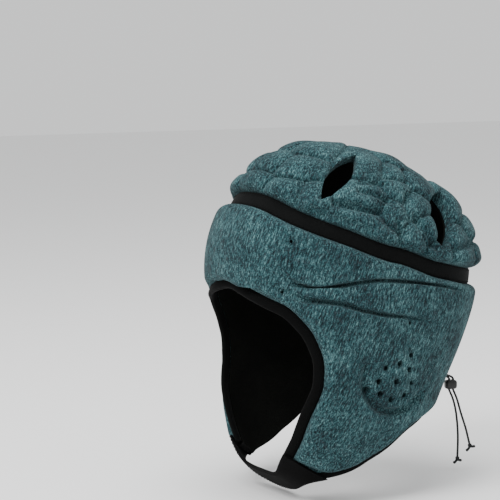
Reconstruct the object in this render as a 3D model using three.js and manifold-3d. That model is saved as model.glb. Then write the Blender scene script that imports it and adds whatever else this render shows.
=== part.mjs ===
// A rugby scrum cap as it sits on a head: a quilted crown and a padded wrap that covers the forehead, ears and
// nape, joined by an elastic band, with bound edges, a chin strap and a laced slit at the back.
// Millimetres, +Z up. The wearer faces -Y, and the wearer's left side is +X. The origin is where the top of
// the head touches the lining.
import * as THREE from "three";
import { mergeVertices } from "three/addons/utils/BufferGeometryUtils.js";
import Module from "manifold-3d";

const wasm = await Module();
wasm.setup();

// The hollow that the head fills, lining to lining
const headWidth = 151;
const headLength = 185;
const crownHeight = 95; // from the top of the head down to its widest level
const crownLean = 12.5; // how far the top sits in front of the middle of the head
const sideHeight = 147; // from the widest level down to the lower end of the ear flaps
const roundness = 2.4; // of a level section: 2 is an ellipse, and more is squarer
const domeRoundness = 1.97; // of the upright profile over the top

// Layers, each measured out from the head
const liningThickness = 1;
const layerGap = 0.5; // between the lining and the foam over it
const clearance = 0.3; // between pieces that lie side by side
const liningGap = 1.8; // between the two linings, under the band
const edgeClearance = 1; // between the foam and the band or binding along its edge
const wrapThickness = 9;
const crownThickness = 8.6;
const crownRearExtra = 2.6; // more foam low at the back of the crown
const seamThickness = 2.6; // foam pressed flat at a seam
const shoulderWidth = 6; // from a seam to full thickness
const browExtra = 3.4; // more foam low on the forehead
const browRibs = 4.5; // ribs over which it runs out

// Quilting of the crown
const padGroove = 9; // half width of the groove between two pads
const padGrooveShare = 0.55; // thickness left in the groove
const padCrowning = 1.6; // extra height in the middle of a pad
const padReach = 20; // from the middle of a pad to where its extra height ends
const padBlend = 14; // distance over which one pad's rise gives way to the next one's
const ventLip = 6; // width of the thin foam round a vent
const ventLipShare = 0.3; // foam lost at the vent's edge
const ventLift = 8; // height of the foam at the vents, where their outlines are drawn

// Band, bindings, slit and strap
const bandWidth = 10;
const bandThickness = 2.2;
const bandColumns = 60; // facets round the band
const bindingWidth = 8;
const bindingThickness = 4.6;
const rimWidth = 6; // binding along the rear slit and the lower edge
const rimThickness = 3.6;
const rimStart = 0.12; // ribs from the band's corner to the upper end of the rim
const rimCover = 5.2; // how far the lining reaches under the rim
const slitWidth = 7;
const gussetThickness = 1.2; // stretch strip that closes the slit
const strapThickness = 2.4;
const strapProbe = 1 / 30; // share over which the flap's direction is read at its end
const strapRibs = 1 / 3; // share of a rib's spacing that the strap covers at the end of each ear flap
const strapInset = 0.5; // from the bound edges to the strap's edges, where it lies on a flap
const strapFront = { y: -71, below: 0.5 }; // front edge of the strap, below the level of the flaps' ends
const strapRear = { y: -51, below: 17 };
const strapSteps = 8; // facets from a flap's end to the middle of the strap
const strapLeave = 16; // how far the strap runs on in the flap's direction
const strapLevel = 26; // and how far it runs level under the chin

// Folds pressed into each side of the wrap
const foldWidth = 4.5; // half width
const foldDepth = 4.2;

// Ear patch, pressed in along a crescent under the ear
const earAround = 0.52;
const earDrop = 0.668; // as a share of the whole height
const earRadius = 28;
const earGroove = 4.5;
const earGrooveDepth = 3;
const earRise = 1.4;

// Rear lace, its loops, the lock and the knots
const laceDiameter = 1.8;
const laceSides = 8;
const laceStep = 5;
const loopWidth = 5;
const loopHeight = 3.8;
const loopLength = 4;
const loopWall = 0.8;
const loopFoot = 0.6; // sunk into the bound edge
const loopLead = 1; // how far the lace runs straight past a loop
const lockLead = 1.5; // and above the lock
const crossingRise = 1.3; // how far one strand rises and the other dips where they cross
const lockLength = 10;
const lockWidth = 7.6;
const lockHeight = 7.5;
const lockBevel = 1.3;
const lockCorner = 1.2;
const lockHole = 2.6;
const lockHoleSpread = 3.4;
const knotDiameter = 4.2;
const tailDiameter = 2.3;

// Sections of the hollow below its widest level: below is a share of sideHeight, and width, front and back are
// shares of the half width and half length of the head. Egg is how much narrower it is in front than behind.
const lowerSections = [
  { below: 0.0, width: 1.0, front: 1.0, back: 1.1, egg: 0.05 },
  { below: 0.146, width: 1.035, front: 1.09, back: 1.045, egg: 0.04 },
  { below: 0.34, width: 1.01, front: 1.1, back: 0.935, egg: 0.0 },
  { below: 0.535, width: 0.98, front: 1.04, back: 0.775, egg: -0.02 },
  { below: 0.73, width: 0.93, front: 0.91, back: 0.61, egg: 0.0 },
  { below: 1.0, width: 0.72, front: 0.72, back: 0.5, egg: -0.12 },
];

// Height of the middle of the band, from the middle of the forehead to the middle of the back
const bandRows = [
  { around: 0.0, drop: 0.139 },
  { around: 0.12, drop: 0.15 },
  { around: 0.25, drop: 0.189 },
  { around: 0.4, drop: 0.247 },
  { around: 0.5, drop: 0.303 },
  { around: 0.6, drop: 0.358 },
  { around: 0.8, drop: 0.4 },
  { around: 1.0, drop: 0.405 },
];

// Ribs of one side of the wrap, from the middle of the forehead round to the end of the ear flap. Each crosses
// the wrap from the face opening to the far edge. Around is 0 at the middle of the forehead and 1 at the middle
// of the back, and drop is a share of the whole height. A far point with no drop of its own lies on the band.
// Steps is the number of facets up to the next rib.
const wrapRibs = [
  { rib: 0, steps: 3, faceAround: 0.0, faceDrop: 0.381, farAround: 0.0 },
  { rib: 1, steps: 3, faceAround: 0.08, faceDrop: 0.402, farAround: 0.115 },
  { rib: 2, steps: 2, faceAround: 0.161, faceDrop: 0.427, farAround: 0.24 },
  { rib: 3, steps: 4, faceAround: 0.24, faceDrop: 0.457, farAround: 0.38 },
  { rib: 4, steps: 5, faceAround: 0.303, faceDrop: 0.515, farAround: 0.54 },
  { rib: 5, steps: 6, faceAround: 0.336, faceDrop: 0.578, farAround: 0.76 },
  { rib: 6, steps: 3, faceAround: 0.347, faceDrop: 0.62, farAround: 1.0 },
  { rib: 7, steps: 3, faceAround: 0.348, faceDrop: 0.66, farAround: 1.0, farDrop: 0.6 },
  { rib: 8, steps: 4, faceAround: 0.343, faceDrop: 0.701, farAround: 1.0, farDrop: 0.775 },
  { rib: 9, steps: 4, faceAround: 0.323, faceDrop: 0.744, farAround: 0.8, farDrop: 0.8 },
  { rib: 10, steps: 4, faceAround: 0.298, faceDrop: 0.785, farAround: 0.63, farDrop: 0.834 },
  { rib: 11, steps: 3, faceAround: 0.274, faceDrop: 0.826, farAround: 0.53, farDrop: 0.895 },
  { rib: 12, steps: 3, faceAround: 0.24, faceDrop: 0.878, farAround: 0.43, farDrop: 0.949 },
  { rib: 13, steps: 0, faceAround: 0.183, faceDrop: 0.941, farAround: 0.27, farDrop: 0.976 },
];
const bandCorner = 6; // rib that ends where the band meets the slit
const napeCorner = 8; // rib that ends at the lower end of the slit

// Where the two folds of one side cross the ribs, as shares of each rib's length, and how deep they are there
const wrapFolds = [
  { rib: 0, low: 0.35, high: 0.65, lowDepth: 0, highDepth: 0 },
  { rib: 1, low: 0.32, high: 0.6, lowDepth: 0, highDepth: 0 },
  { rib: 2, low: 0.24, high: 0.42, lowDepth: 0, highDepth: 0 },
  { rib: 3, low: 0.14, high: 0.345, lowDepth: 0.35, highDepth: 0.8 },
  { rib: 4, low: 0.39, high: 0.84, lowDepth: 1, highDepth: 0.9 },
  { rib: 5, low: 0.5, high: 0.88, lowDepth: 0.2, highDepth: 0 },
  { rib: 6, low: 0.42, high: 0.7, lowDepth: 0, highDepth: 0 },
  { rib: 9, low: 0.34, high: 0.66, lowDepth: 0, highDepth: 0 },
  { rib: 13, low: 0.34, high: 0.66, lowDepth: 0, highDepth: 0 },
];

// Middles of the crown's pads on one side. Stretch is how much longer than tall a pad is, turn is how far its
// length slants down towards the back, in degrees, and rise is its extra height as a share of crownThickness.
const crownPads = [
  { around: 0.0, drop: 0.1, stretch: 1.3, turn: 0, rise: 0.1 },
  { around: 0.0, drop: 0.052, stretch: 1.3, turn: 0, rise: 0.2 },
  { around: 0.187, drop: 0.124, stretch: 1.3, turn: 0, rise: 0 },
  { around: 0.216, drop: 0.06, stretch: 1.2, turn: 0, rise: 0.1 },
  { around: 0.25, drop: 0.012, stretch: 1, turn: 0, rise: 0 },
  { around: 0.3, drop: 0.142, stretch: 1.2, turn: 20, rise: 0 },
  { around: 0.535, drop: 0.056, stretch: 1.5, turn: 0, rise: 0 },
  { around: 0.455, drop: 0.143, stretch: 1.9, turn: 5, rise: 0 },
  { around: 0.43, drop: 0.212, stretch: 2.4, turn: 22, rise: 0 },
  { around: 0.569, drop: 0.124, stretch: 1, turn: 0, rise: 0 },
  { around: 0.514, drop: 0.19, stretch: 1, turn: 0, rise: 0 },
  { around: 0.594, drop: 0.176, stretch: 1, turn: 0, rise: 0 },
  { around: 0.54, drop: 0.27, stretch: 0.8, turn: 0, rise: 0 },
  { around: 0.592, drop: 0.235, stretch: 0.8, turn: 0, rise: 0 },
  { around: 0.6, drop: 0.33, stretch: 1.1, turn: 0, rise: 0 },
  { around: 0.7, drop: 0.338, stretch: 1.1, turn: 0, rise: 0 },
  { around: 0.858, drop: 0.27, stretch: 1, turn: 0, rise: 0.3 },
  { around: 0.85, drop: 0.19, stretch: 1, turn: 0, rise: 0.35 },
  { around: 0.85, drop: 0.35, stretch: 1, turn: 0, rise: 0.05 },
  { around: 0.7, drop: 0.113, stretch: 1, turn: 0, rise: -0.05 },
  { around: 0.62, drop: 0.08, stretch: 1, turn: 0, rise: -0.35 },
  { around: 0.8, drop: 0.05, stretch: 1, turn: 0, rise: -0.2 },
  { around: 1.0, drop: 0.1, stretch: 1.2, turn: 0, rise: 0 },
  { around: 1.0, drop: 0.17, stretch: 1.2, turn: 0, rise: 0 },
  { around: 1.0, drop: 0.26, stretch: 1.2, turn: 0, rise: 0 },
  { around: 1.0, drop: 0.35, stretch: 1.2, turn: 0, rise: 0 },
];

// Leaf-shaped vents on one side, from tip to tip. Bulges are how far the front and rear edges stand from the line
// between the tips, and widest is where, as a share of that line.
const crownVents = [
  {
    upAround: 0.53,
    upDrop: 0.031,
    downAround: 0.324,
    downDrop: 0.147,
    frontBulge: 8.6,
    rearBulge: 8,
    widest: 0.52,
  },
  {
    upAround: 0.815,
    upDrop: 0.153,
    downAround: 0.612,
    downDrop: 0.313,
    frontBulge: 8,
    rearBulge: 18,
    widest: 0.45,
  },
];
const ventSteps = 6;
const leafPower = 0.85; // how blunt the tips are: 1 is a plain sine
const ventReach = 30; // how far a vent's cut runs out past the foam

// Holes punched through each side of the wrap: the ear's group, then three single ones
const wrapHoles = [
  { around: 0.544, drop: 0.608, across: 3.6 },
  { around: 0.518, drop: 0.63, across: 4 },
  { around: 0.495, drop: 0.64, across: 3.4 },
  { around: 0.546, drop: 0.651, across: 3.6 },
  { around: 0.485, drop: 0.68, across: 4 },
  { around: 0.518, drop: 0.685, across: 4 },
  { around: 0.564, drop: 0.695, across: 3.6 },
  { around: 0.463, drop: 0.705, across: 4 },
  { around: 0.492, drop: 0.719, across: 4 },
  { around: 0.551, drop: 0.733, across: 3.6 },
  { around: 0.515, drop: 0.742, across: 4 },
  { around: 0.209, drop: 0.414, across: 2.2 },
  { around: 0.525, drop: 0.507, across: 2.2 },
  { around: 0.235, drop: 0.256, across: 2.2 },
];

// Heights of the lace loops on the slit's bound edges, as shares of the whole height
const loopDrops = [0.46, 0.54, 0.62, 0.7];

// Middle of the lock, with its height as a share of the whole height, and how far it is turned from straight back. The routes of the two lace ends below it are
// measured from its middle, and each knot's two tails from the end of its route.
const lockPlace = { x: 13, y: 101, drop: 0.7868 };
const lockTurn = 0.25;
const longEnd = {
  route: [
    { x: 0.2, y: 2.2, z: -12.2 },
    { x: 0.4, y: 4.6, z: -20.4 },
    { x: 0.5, y: 6.5, z: -32.6 },
    { x: 0.5, y: 7.3, z: -44.9 },
    { x: 0.4, y: 7, z: -60.1 },
  ],
  tails: [
    { x: 0.8, y: -4.4, z: -2.6 },
    { x: -0.8, y: 4.2, z: -1.8 },
  ],
};
const shortEnd = {
  route: [
    { x: 0.3, y: 6, z: -12.2 },
    { x: 0.8, y: 9.9, z: -24.4 },
    { x: 1.2, y: 14.8, z: -38.3 },
    { x: 1.5, y: 18.2, z: -50.6 },
  ],
  tails: [
    { x: 0.6, y: -4.2, z: -3.4 },
    { x: -0.4, y: 5, z: -0.8 },
  ],
};

const teal = 0x4a7377;
const nearBlack = 0x15181a;
const liningBlack = 0x121311;
const laceGrey = 0x2b2d2f;

const wholeDrop = crownHeight + sideHeight;
const point = (x, y, z) => new THREE.Vector3(x, y, z);
const clamp = (value, low, high) => Math.min(high, Math.max(low, value));
const mix = (a, b, t) => a + (b - a) * t;
const signedPower = (base, power) => Math.sign(base) * Math.abs(base) ** power;
const mirrored = (p) => point(-p.x, p.y, p.z);

// A smooth reading of one column of a table at a place between its rows.
function readTable(rows, key, column, place) {
  const found = rows.findIndex((row) => row[key] >= place);
  const i = found < 0 ? rows.length - 1 : Math.max(1, found);
  const slope = (n) => {
    const before = rows[Math.max(0, n - 1)];
    const after = rows[Math.min(rows.length - 1, n + 1)];
    return (after[column] - before[column]) / (after[key] - before[key]);
  };
  const [a, b] = [rows[i - 1], rows[i]];
  const step = b[key] - a[key];
  const t = (place - a[key]) / step;
  const [t2, t3] = [t * t, t * t * t];
  return (
    a[column] * (2 * t3 - 3 * t2 + 1) +
    slope(i - 1) * step * (t3 - 2 * t2 + t) +
    b[column] * (3 * t2 - 2 * t3) +
    slope(i) * step * (t3 - t2)
  );
}

// Half width, and the reach to the front and back, of the hollow at a level. The level is 0 at the top of the
// head, 1 at the widest section and 2 at the end of the ear flaps.
function sectionAt(level) {
  if (level < 1) {
    const turn = (level * Math.PI) / 2;
    const size = Math.sin(turn) ** (2 / domeRoundness);
    const drop = crownHeight * (1 - Math.cos(turn) ** (2 / domeRoundness));
    const lean = crownLean * (1 - drop / crownHeight);
    return {
      drop,
      width: (headWidth / 2) * size,
      front: (headLength / 2) * size + lean,
      back: (headLength / 2) * size * lowerSections[0].back - lean,
      egg: lowerSections[0].egg,
    };
  }
  const below = level - 1;
  const read = (column) => readTable(lowerSections, "below", column, below);
  return {
    drop: crownHeight + below * sideHeight,
    width: (headWidth / 2) * read("width"),
    front: (headLength / 2) * read("front"),
    back: (headLength / 2) * read("back"),
    egg: read("egg"),
  };
}

function levelAt(drop) {
  if (drop > crownHeight) return 1 + (drop - crownHeight) / sideHeight;
  return (Math.acos((1 - drop / crownHeight) ** (domeRoundness / 2)) * 2) / Math.PI;
}

// A point on the lining's inner face. Around runs from 0 at the forehead to 1 or -1 at the back.
function onLining(around, level) {
  const { drop, width, front, back, egg } = sectionAt(level);
  const turn = around * Math.PI;
  const middle = (back - front) / 2;
  const reach = (back + front) / 2;
  const x = width * signedPower(Math.sin(turn), 2 / roundness) * (1 - egg * Math.cos(turn));
  const y = middle - reach * signedPower(Math.cos(turn), 2 / roundness);
  return point(x, y, -drop);
}

function outwardAt(around, level) {
  const step = 0.01;
  if (level < step) return point(0, 0, 1);
  const low = Math.max(level, step * 2);
  const along = onLining(around + step, low).sub(onLining(around - step, low));
  const down = onLining(around, low + step).sub(onLining(around, low - step));
  return down.cross(along).normalize();
}

// A point that lies out from the lining's inner face, square to it.
function onHead(around, drop, out) {
  const level = levelAt(drop);
  return onLining(around, level).addScaledVector(outwardAt(around, level), out);
}

// The place beside the middle of the back that is a given distance from it.
function rearAround(x, drop) {
  const { width, egg } = sectionAt(levelAt(drop));
  return 1 - Math.asin((x / (width * (1 + egg))) ** (roundness / 2)) / Math.PI;
}

// A chart place moved by millimetres over the surface, square to a line that runs along the chart.
function besideLine(line, s, distance) {
  const step = 0.02;
  const [around, drop] = line(s);
  const [aroundAfter, dropAfter] = line(s + step);
  const [aroundBefore, dropBefore] = line(s - step);
  const probe = 0.002;
  const probeDrop = 0.4;
  const perAround = onHead(around + probe, drop, 0).sub(onHead(around - probe, drop, 0));
  perAround.divideScalar(2 * probe);
  const perDrop = onHead(around, drop + probeDrop, 0).sub(onHead(around, drop - probeDrop, 0));
  perDrop.divideScalar(2 * probeDrop);
  const along = perAround.clone().multiplyScalar(aroundAfter - aroundBefore);
  along.addScaledVector(perDrop, dropAfter - dropBefore);
  const aside = along.cross(outwardAt(around, levelAt(drop))).normalize().multiplyScalar(distance);
  const [aa, ad, dd] = [perAround.dot(perAround), perAround.dot(perDrop), perDrop.dot(perDrop)];
  const [va, vd] = [aside.dot(perAround), aside.dot(perDrop)];
  const whole = aa * dd - ad * ad;
  return [around + (va * dd - vd * ad) / whole, drop + (vd * aa - va * ad) / whole];
}

// The band's rows over both halves and on past the middle of the back, so that it reads smoothly all round
const bandTurns = [
  ...bandRows.slice(1).reverse().map((row) => ({ around: -row.around, drop: row.drop })),
  ...bandRows,
  ...bandRows.slice(0, -1).reverse().map((row) => ({ around: 2 - row.around, drop: row.drop })),
];
const bandMiddle = (around) =>
  readTable(bandTurns, "around", "drop", around < -0.5 ? around + 2 : around) * wholeDrop;

// A drop that is some millimetres below the middle of the band, measured over the surface.
function besideBand(around, distance) {
  const line = (s) => [s, bandMiddle(s)];
  const [moved, drop] = besideLine(line, around, distance);
  return drop + bandMiddle(around) - bandMiddle(moved);
}

// Both sides of the ribs' table as one, from the end of the right flap to the end of the left one
const mirrorRow = (row) => ({
  ...row,
  rib: -row.rib,
  faceAround: -row.faceAround,
  farAround: -row.farAround,
});
const halfRibs = wrapRibs.map((row) => ({
  ...row,
  farDrop: row.farDrop ?? besideBand(row.farAround, bandWidth / 2) / wholeDrop,
}));
const allRibs = [...halfRibs.slice(1).reverse().map(mirrorRow), ...halfRibs];
const lastRib = wrapRibs.length - 1;

const readRib = (column, s) => readTable(allRibs, "rib", column, s);
const readFold = (column, s) => readTable(wrapFolds, "rib", column, Math.abs(s));
const faceLine = (s) => [readRib("faceAround", s), readRib("faceDrop", s) * wholeDrop];

// The far edge of the wrap, or of the lining that reaches past it at the band and at the slit.
function farLine(s, bandGap, slitGap) {
  const side = Math.abs(s);
  const around = clamp(readRib("farAround", s), -1, 1);
  const drop = side <= bandCorner ? besideBand(around, bandGap) : readRib("farDrop", s) * wholeDrop;
  if (side > napeCorner + 1) return [around, drop];
  const limit = rearAround(slitGap, drop);
  return [clamp(around, -limit, limit), drop];
}

const wrapFarLine = (s) => farLine(s, bandWidth / 2 + edgeClearance, slitWidth / 2 + rimWidth + edgeClearance);

function ribPlace(s, t) {
  const [faceAround, faceDrop] = faceLine(s);
  const [farAround, farDrop] = wrapFarLine(s);
  return [mix(faceAround, farAround, t), mix(faceDrop, farDrop, t)];
}

// How much of a rib's length one millimetre is at one of its ends, measured square to the edge there.
function sharePerMillimetre(s, atFar) {
  const step = 0.02;
  const t = atFar ? 1 : 0;
  const line = atFar ? wrapFarLine : faceLine;
  const place = ([around, drop]) => onHead(around, drop, 0);
  const across = place(ribPlace(s, t + step)).sub(place(ribPlace(s, t - step))).divideScalar(2 * step);
  const along = place(line(s + step)).sub(place(line(s - step)));
  return along.length() / across.cross(along).length();
}

// Sizes of one rib that the thickness of the foam follows.
function measureRib(s) {
  const steps = 8;
  let length = 0;
  let before = onHead(...ribPlace(s, 0), 0);
  for (let i = 1; i <= steps; i += 1) {
    const next = onHead(...ribPlace(s, i / steps), 0);
    length += next.distanceTo(before);
    before = next;
  }
  const beside = onHead(...ribPlace(lastRib, 0.5), 0).distanceTo(onHead(...ribPlace(lastRib - 1, 0.5), 0));
  return {
    s,
    length,
    nearShare: sharePerMillimetre(s, false),
    farShare: sharePerMillimetre(s, true),
    endDistance: (lastRib - Math.abs(s) - strapRibs) * beside,
    low: readFold("low", s),
    high: readFold("high", s),
    lowDepth: clamp(readFold("lowDepth", s), 0, 1) * foldDepth,
    highDepth: clamp(readFold("highDepth", s), 0, 1) * foldDepth,
  };
}

// A quarter round: 0 at a seam and 1 where the foam is at full height.
function shoulder(distance, width) {
  const t = clamp(distance / width, 0, 1);
  return Math.sqrt(1 - (1 - t) ** 2);
}

// A smooth dip, deepest in its middle.
function dip(distance, halfWidth) {
  const t = clamp(Math.abs(distance) / halfWidth, 0, 1);
  return (1 - t * t) ** 2;
}

const earMiddle = onHead(earAround, earDrop * wholeDrop, 0);

function earShape(around, drop) {
  const place = onHead(Math.abs(around), drop, 0).sub(earMiddle);
  const distance = place.length();
  const rise = earRise * dip(distance, earRadius);
  const lowFront = distance > 1 ? clamp((-place.z - 0.5 * place.y) / distance, 0, 1) : 0;
  return rise - earGrooveDepth * dip(distance - earRadius, earGroove) * Math.sqrt(lowFront);
}

// The wrap's two long edges as lines of points, to measure distances from.
const edgeSteps = 8; // points for each rib
const edgePlaces = Array.from({ length: 2 * lastRib * edgeSteps + 1 }, (_, i) => i / edgeSteps - lastRib);
const edgeLines = [faceLine, wrapFarLine].map((line) => edgePlaces.map((s) => onHead(...line(s), 0)));

function distanceToLine(place, line) {
  const nearest = point();
  let least = Infinity;
  for (let i = 0; i + 1 < line.length; i += 1) {
    new THREE.Line3(line[i], line[i + 1]).closestPointToPoint(place, true, nearest);
    least = Math.min(least, nearest.distanceTo(place));
  }
  return least;
}

function wrapFoam(rib, t) {
  const [around, drop] = ribPlace(rib.s, t);
  const place = onHead(around, drop, 0);
  const fromEdges = Math.min(...edgeLines.map((line) => distanceToLine(place, line)));
  const round = shoulder(fromEdges, shoulderWidth) * shoulder(rib.endDistance, shoulderWidth);
  const folds =
    rib.lowDepth * dip((t - rib.low) * rib.length, foldWidth) +
    rib.highDepth * dip((t - rib.high) * rib.length, foldWidth);
  const brow = browExtra * dip(rib.s, browRibs) * (1 - t);
  return seamThickness + (wrapThickness - seamThickness - folds + brow + earShape(around, drop)) * round;
}

// Rows across a rib, close together at its two edges and at its folds.
const edgeRows = [0, 0.25, 0.6, 1];
const edgeRowLimit = 0.3; // share of a short rib that its edge rows may take

function rowShares(rib) {
  const fold = Math.min(foldWidth / rib.length, 0.1);
  const near = Math.min(shoulderWidth * rib.nearShare, edgeRowLimit);
  const far = Math.min(shoulderWidth * rib.farShare, edgeRowLimit);
  const rows = [
    ...edgeRows.map((share) => share * near),
    rib.low - fold,
    rib.low,
    rib.low + fold,
    (rib.low + rib.high) / 2,
    rib.high - fold,
    rib.high,
    rib.high + fold,
    ...edgeRows.map((share) => 1 - share * far).reverse(),
  ];
  const least = 0.012;
  const middleRows = rows.length - edgeRows.length;
  for (let i = edgeRows.length; i < middleRows; i += 1) rows[i] = Math.max(rows[i], rows[i - 1] + least);
  for (let i = middleRows - 1; i >= edgeRows.length; i -= 1) rows[i] = Math.min(rows[i], rows[i + 1] - least);
  return rows;
}

// Places along the wrap, from the right flap's end to the left one's.
function wrapColumns() {
  const places = ({ rib, steps }) => Array.from({ length: steps }, (_, i) => rib + i / steps);
  const half = wrapRibs.flatMap(places);
  half.push(lastRib);
  return [...half.slice(1).reverse().map((s) => -s), ...half];
}

// Triangles of a grid of points. Rows run across it, and flip turns its faces over.
function gridTriangles(grid, flip = false) {
  const triangles = [];
  for (let i = 0; i + 1 < grid.length; i += 1) {
    for (let j = 0; j + 1 < grid[i].length; j += 1) {
      const [a, b, c, d] = [grid[i][j], grid[i][j + 1], grid[i + 1][j + 1], grid[i + 1][j]];
      const split = a.distanceTo(c) < b.distanceTo(d) ? [[a, b, c], [a, c, d]] : [[a, b, d], [b, c, d]];
      triangles.push(...split);
    }
  }
  return flip ? triangles.map(([a, b, c]) => [a, c, b]) : triangles;
}

// Triangles between two lines of points that start and end together, which may differ in number.
function joinLines(first, second) {
  const triangles = [];
  let [i, j] = [0, 0];
  while (i + 1 < first.length || j + 1 < second.length) {
    const nextFirst = (i + 1) / (first.length - 1);
    const nextSecond = (j + 1) / (second.length - 1);
    if (j + 1 >= second.length || (i + 1 < first.length && nextFirst <= nextSecond)) {
      triangles.push([first[i], first[i + 1], second[j]]);
      i += 1;
    } else {
      triangles.push([first[i], second[j + 1], second[j]]);
      j += 1;
    }
  }
  return triangles;
}

const column = (grid, j) => grid.map((row) => row[j]);

// A closed sheet between an outer and an inner grid whose edges follow the same lines.
function closedSheet(outer, inner) {
  const [lastOuter, lastInner] = [outer[0].length - 1, inner[0].length - 1];
  return [
    ...gridTriangles(outer),
    ...gridTriangles(inner, true),
    ...joinLines(inner[0], outer[0]),
    ...joinLines(outer[outer.length - 1], inner[inner.length - 1]),
    ...joinLines(column(outer, 0), column(inner, 0)),
    ...joinLines(column(inner, lastInner), column(outer, lastOuter)),
  ];
}

// A closed body along a run of matching sections. A ring joins its last section to its first.
function loft(sections, ring = false) {
  const closed = sections.map((section) => [...section, section[0]]);
  if (ring) return gridTriangles([...closed, closed[0]]);
  const cap = (section) => section.slice(2).map((p, i) => [section[0], section[i + 1], p]);
  const start = cap(sections[0]).map(([a, b, c]) => [a, c, b]);
  return [...gridTriangles(closed), ...start, ...cap(sections[sections.length - 1])];
}

function geometryOf(triangles) {
  const geometry = new THREE.BufferGeometry();
  const values = triangles.flat().flatMap((p) => [p.x, p.y, p.z]);
  geometry.setAttribute("position", new THREE.Float32BufferAttribute(values, 3));
  return geometry;
}

function solidOf(geometry) {
  const bare = geometry.clone();
  bare.deleteAttribute("normal");
  bare.deleteAttribute("uv");
  const merged = mergeVertices(bare, 1e-3);
  const triVerts = Uint32Array.from(merged.index.array);
  const vertProperties = Float32Array.from(merged.attributes.position.array);
  return new wasm.Manifold(new wasm.Mesh({ numProp: 3, vertProperties, triVerts }));
}

function geometryFrom(solid) {
  const mesh = solid.getMesh();
  const geometry = new THREE.BufferGeometry();
  geometry.setAttribute("position", new THREE.Float32BufferAttribute(mesh.vertProperties, 3));
  geometry.setIndex(new THREE.Uint32BufferAttribute(mesh.triVerts, 1));
  return geometry;
}

const cut = (geometry, tools) =>
  geometryFrom(tools.reduce((solid, tool) => solid.subtract(solidOf(tool)), solidOf(geometry)));
const joined = (geometries) => geometryFrom(geometries.map(solidOf).reduce((all, solid) => all.add(solid)));

// The padded wrap with its folds and punched holes, and the lining under it
const foamBase = liningThickness + layerGap;

function wrapGrid(columns, rowsOf, outOf) {
  const ribs = columns.map(measureRib);
  const rows = rowsOf(ribs[0]).length;
  const shares = ribs.map(rowsOf);
  return Array.from({ length: rows }, (_, i) =>
    ribs.map((rib, j) => onHead(...ribPlace(rib.s, shares[j][i]), outOf(rib, shares[j][i]))),
  );
}

const innerRows = [0, 0.33, 0.67, 1];

function makeWrap() {
  const columns = wrapColumns();
  const innerColumns = columns.filter((_, i) => i % 2 === 0);
  const outer = wrapGrid(columns, rowShares, (rib, t) => foamBase + wrapFoam(rib, t));
  const inner = wrapGrid(innerColumns, () => innerRows, () => foamBase);
  const holes = wrapHoles.flatMap((row) => [1, -1].map((side) => holeTool(row, side)));
  return cut(geometryOf(closedSheet(outer, inner)), holes);
}

function holeTool({ around, drop, across }, side) {
  const corners = 6;
  const middle = onHead(side * around, drop * wholeDrop, 0);
  const axis = outwardAt(side * around, levelAt(drop * wholeDrop));
  const aside = point(0, 0, 1).cross(axis).normalize();
  const up = axis.clone().cross(aside);
  const ring = (out) =>
    Array.from({ length: corners }, (_, i) => {
      const turn = (2 * Math.PI * i) / corners;
      const spoke = aside.clone().multiplyScalar(Math.cos(turn)).addScaledVector(up, Math.sin(turn));
      return middle.clone().addScaledVector(axis, out).addScaledVector(spoke, across / 2);
    });
  return geometryOf(loft([ring(liningThickness), ring(foamBase + 2 * wrapThickness)]));
}

function makeSideLining() {
  const columns = wrapColumns().filter((_, i) => i % 2 === 0);
  const reach = (s) => {
    const atBand = farLine(s, liningGap / 2, clearance / 2);
    if (Math.abs(s) <= napeCorner - 1) return atBand;
    const below = besideLine(wrapFarLine, s, -rimCover);
    return Math.abs(s) <= napeCorner ? [atBand[0], below[1]] : below;
  };
  const layer = (out) => [
    ...wrapGrid(columns, () => innerRows, () => out),
    columns.map((s) => onHead(...reach(s), out)),
  ];
  return geometryOf(closedSheet(layer(liningThickness), layer(0)));
}

// Bound edges: strips that follow an edge of the wrap
function strip(line, places, corners) {
  return loft(
    places.map((s) => corners.map(([away, out]) => onHead(...besideLine(line, s, away), out))),
  );
}

function makeFaceBinding() {
  const [near, far] = [edgeClearance, bindingWidth];
  const round = bindingThickness / 3;
  const corners = [
    [near, 0],
    [near, bindingThickness],
    [far - round, bindingThickness],
    [far, bindingThickness / 2],
    [far - round, 0],
  ];
  return geometryOf(strip(faceLine, wrapColumns(), corners));
}

const rimBase = foamBase;
const rimTop = rimBase + rimThickness;

function makeRim(side) {
  const start = bandCorner + rimStart;
  const places = [start, ...wrapColumns().filter((s) => s > start)];
  const round = rimThickness / 3;
  const corners = [
    [-edgeClearance, rimBase],
    [-rimWidth, rimBase],
    [-rimWidth, rimTop - round],
    [-rimWidth + round, rimTop],
    [-edgeClearance, rimTop],
  ];
  const rim = geometryOf(strip(wrapFarLine, places, corners));
  const loops = loopDrops.map((drop) => loopSolid(drop * wholeDrop));
  const whole = joined([rim, ...loops]);
  return side > 0 ? whole : mirrorGeometry(whole);
}

function mirrorGeometry(geometry) {
  const flat = geometry.toNonIndexed();
  const values = flat.attributes.position;
  const corner = (_, i) => mirrored(point().fromBufferAttribute(values, i));
  const corners = Array.from({ length: values.count }, corner);
  const triangles = [];
  for (let i = 0; i < corners.length; i += 3) triangles.push([corners[i], corners[i + 2], corners[i + 1]]);
  return geometryOf(triangles);
}

// Lace loops stand on the bound edges of the slit, open up and down
const rimMiddle = slitWidth / 2 + rimWidth / 2;
const onRear = (x, drop, out) => onHead(Math.sign(x || 1) * rearAround(Math.abs(x), drop), drop, out);

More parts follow.
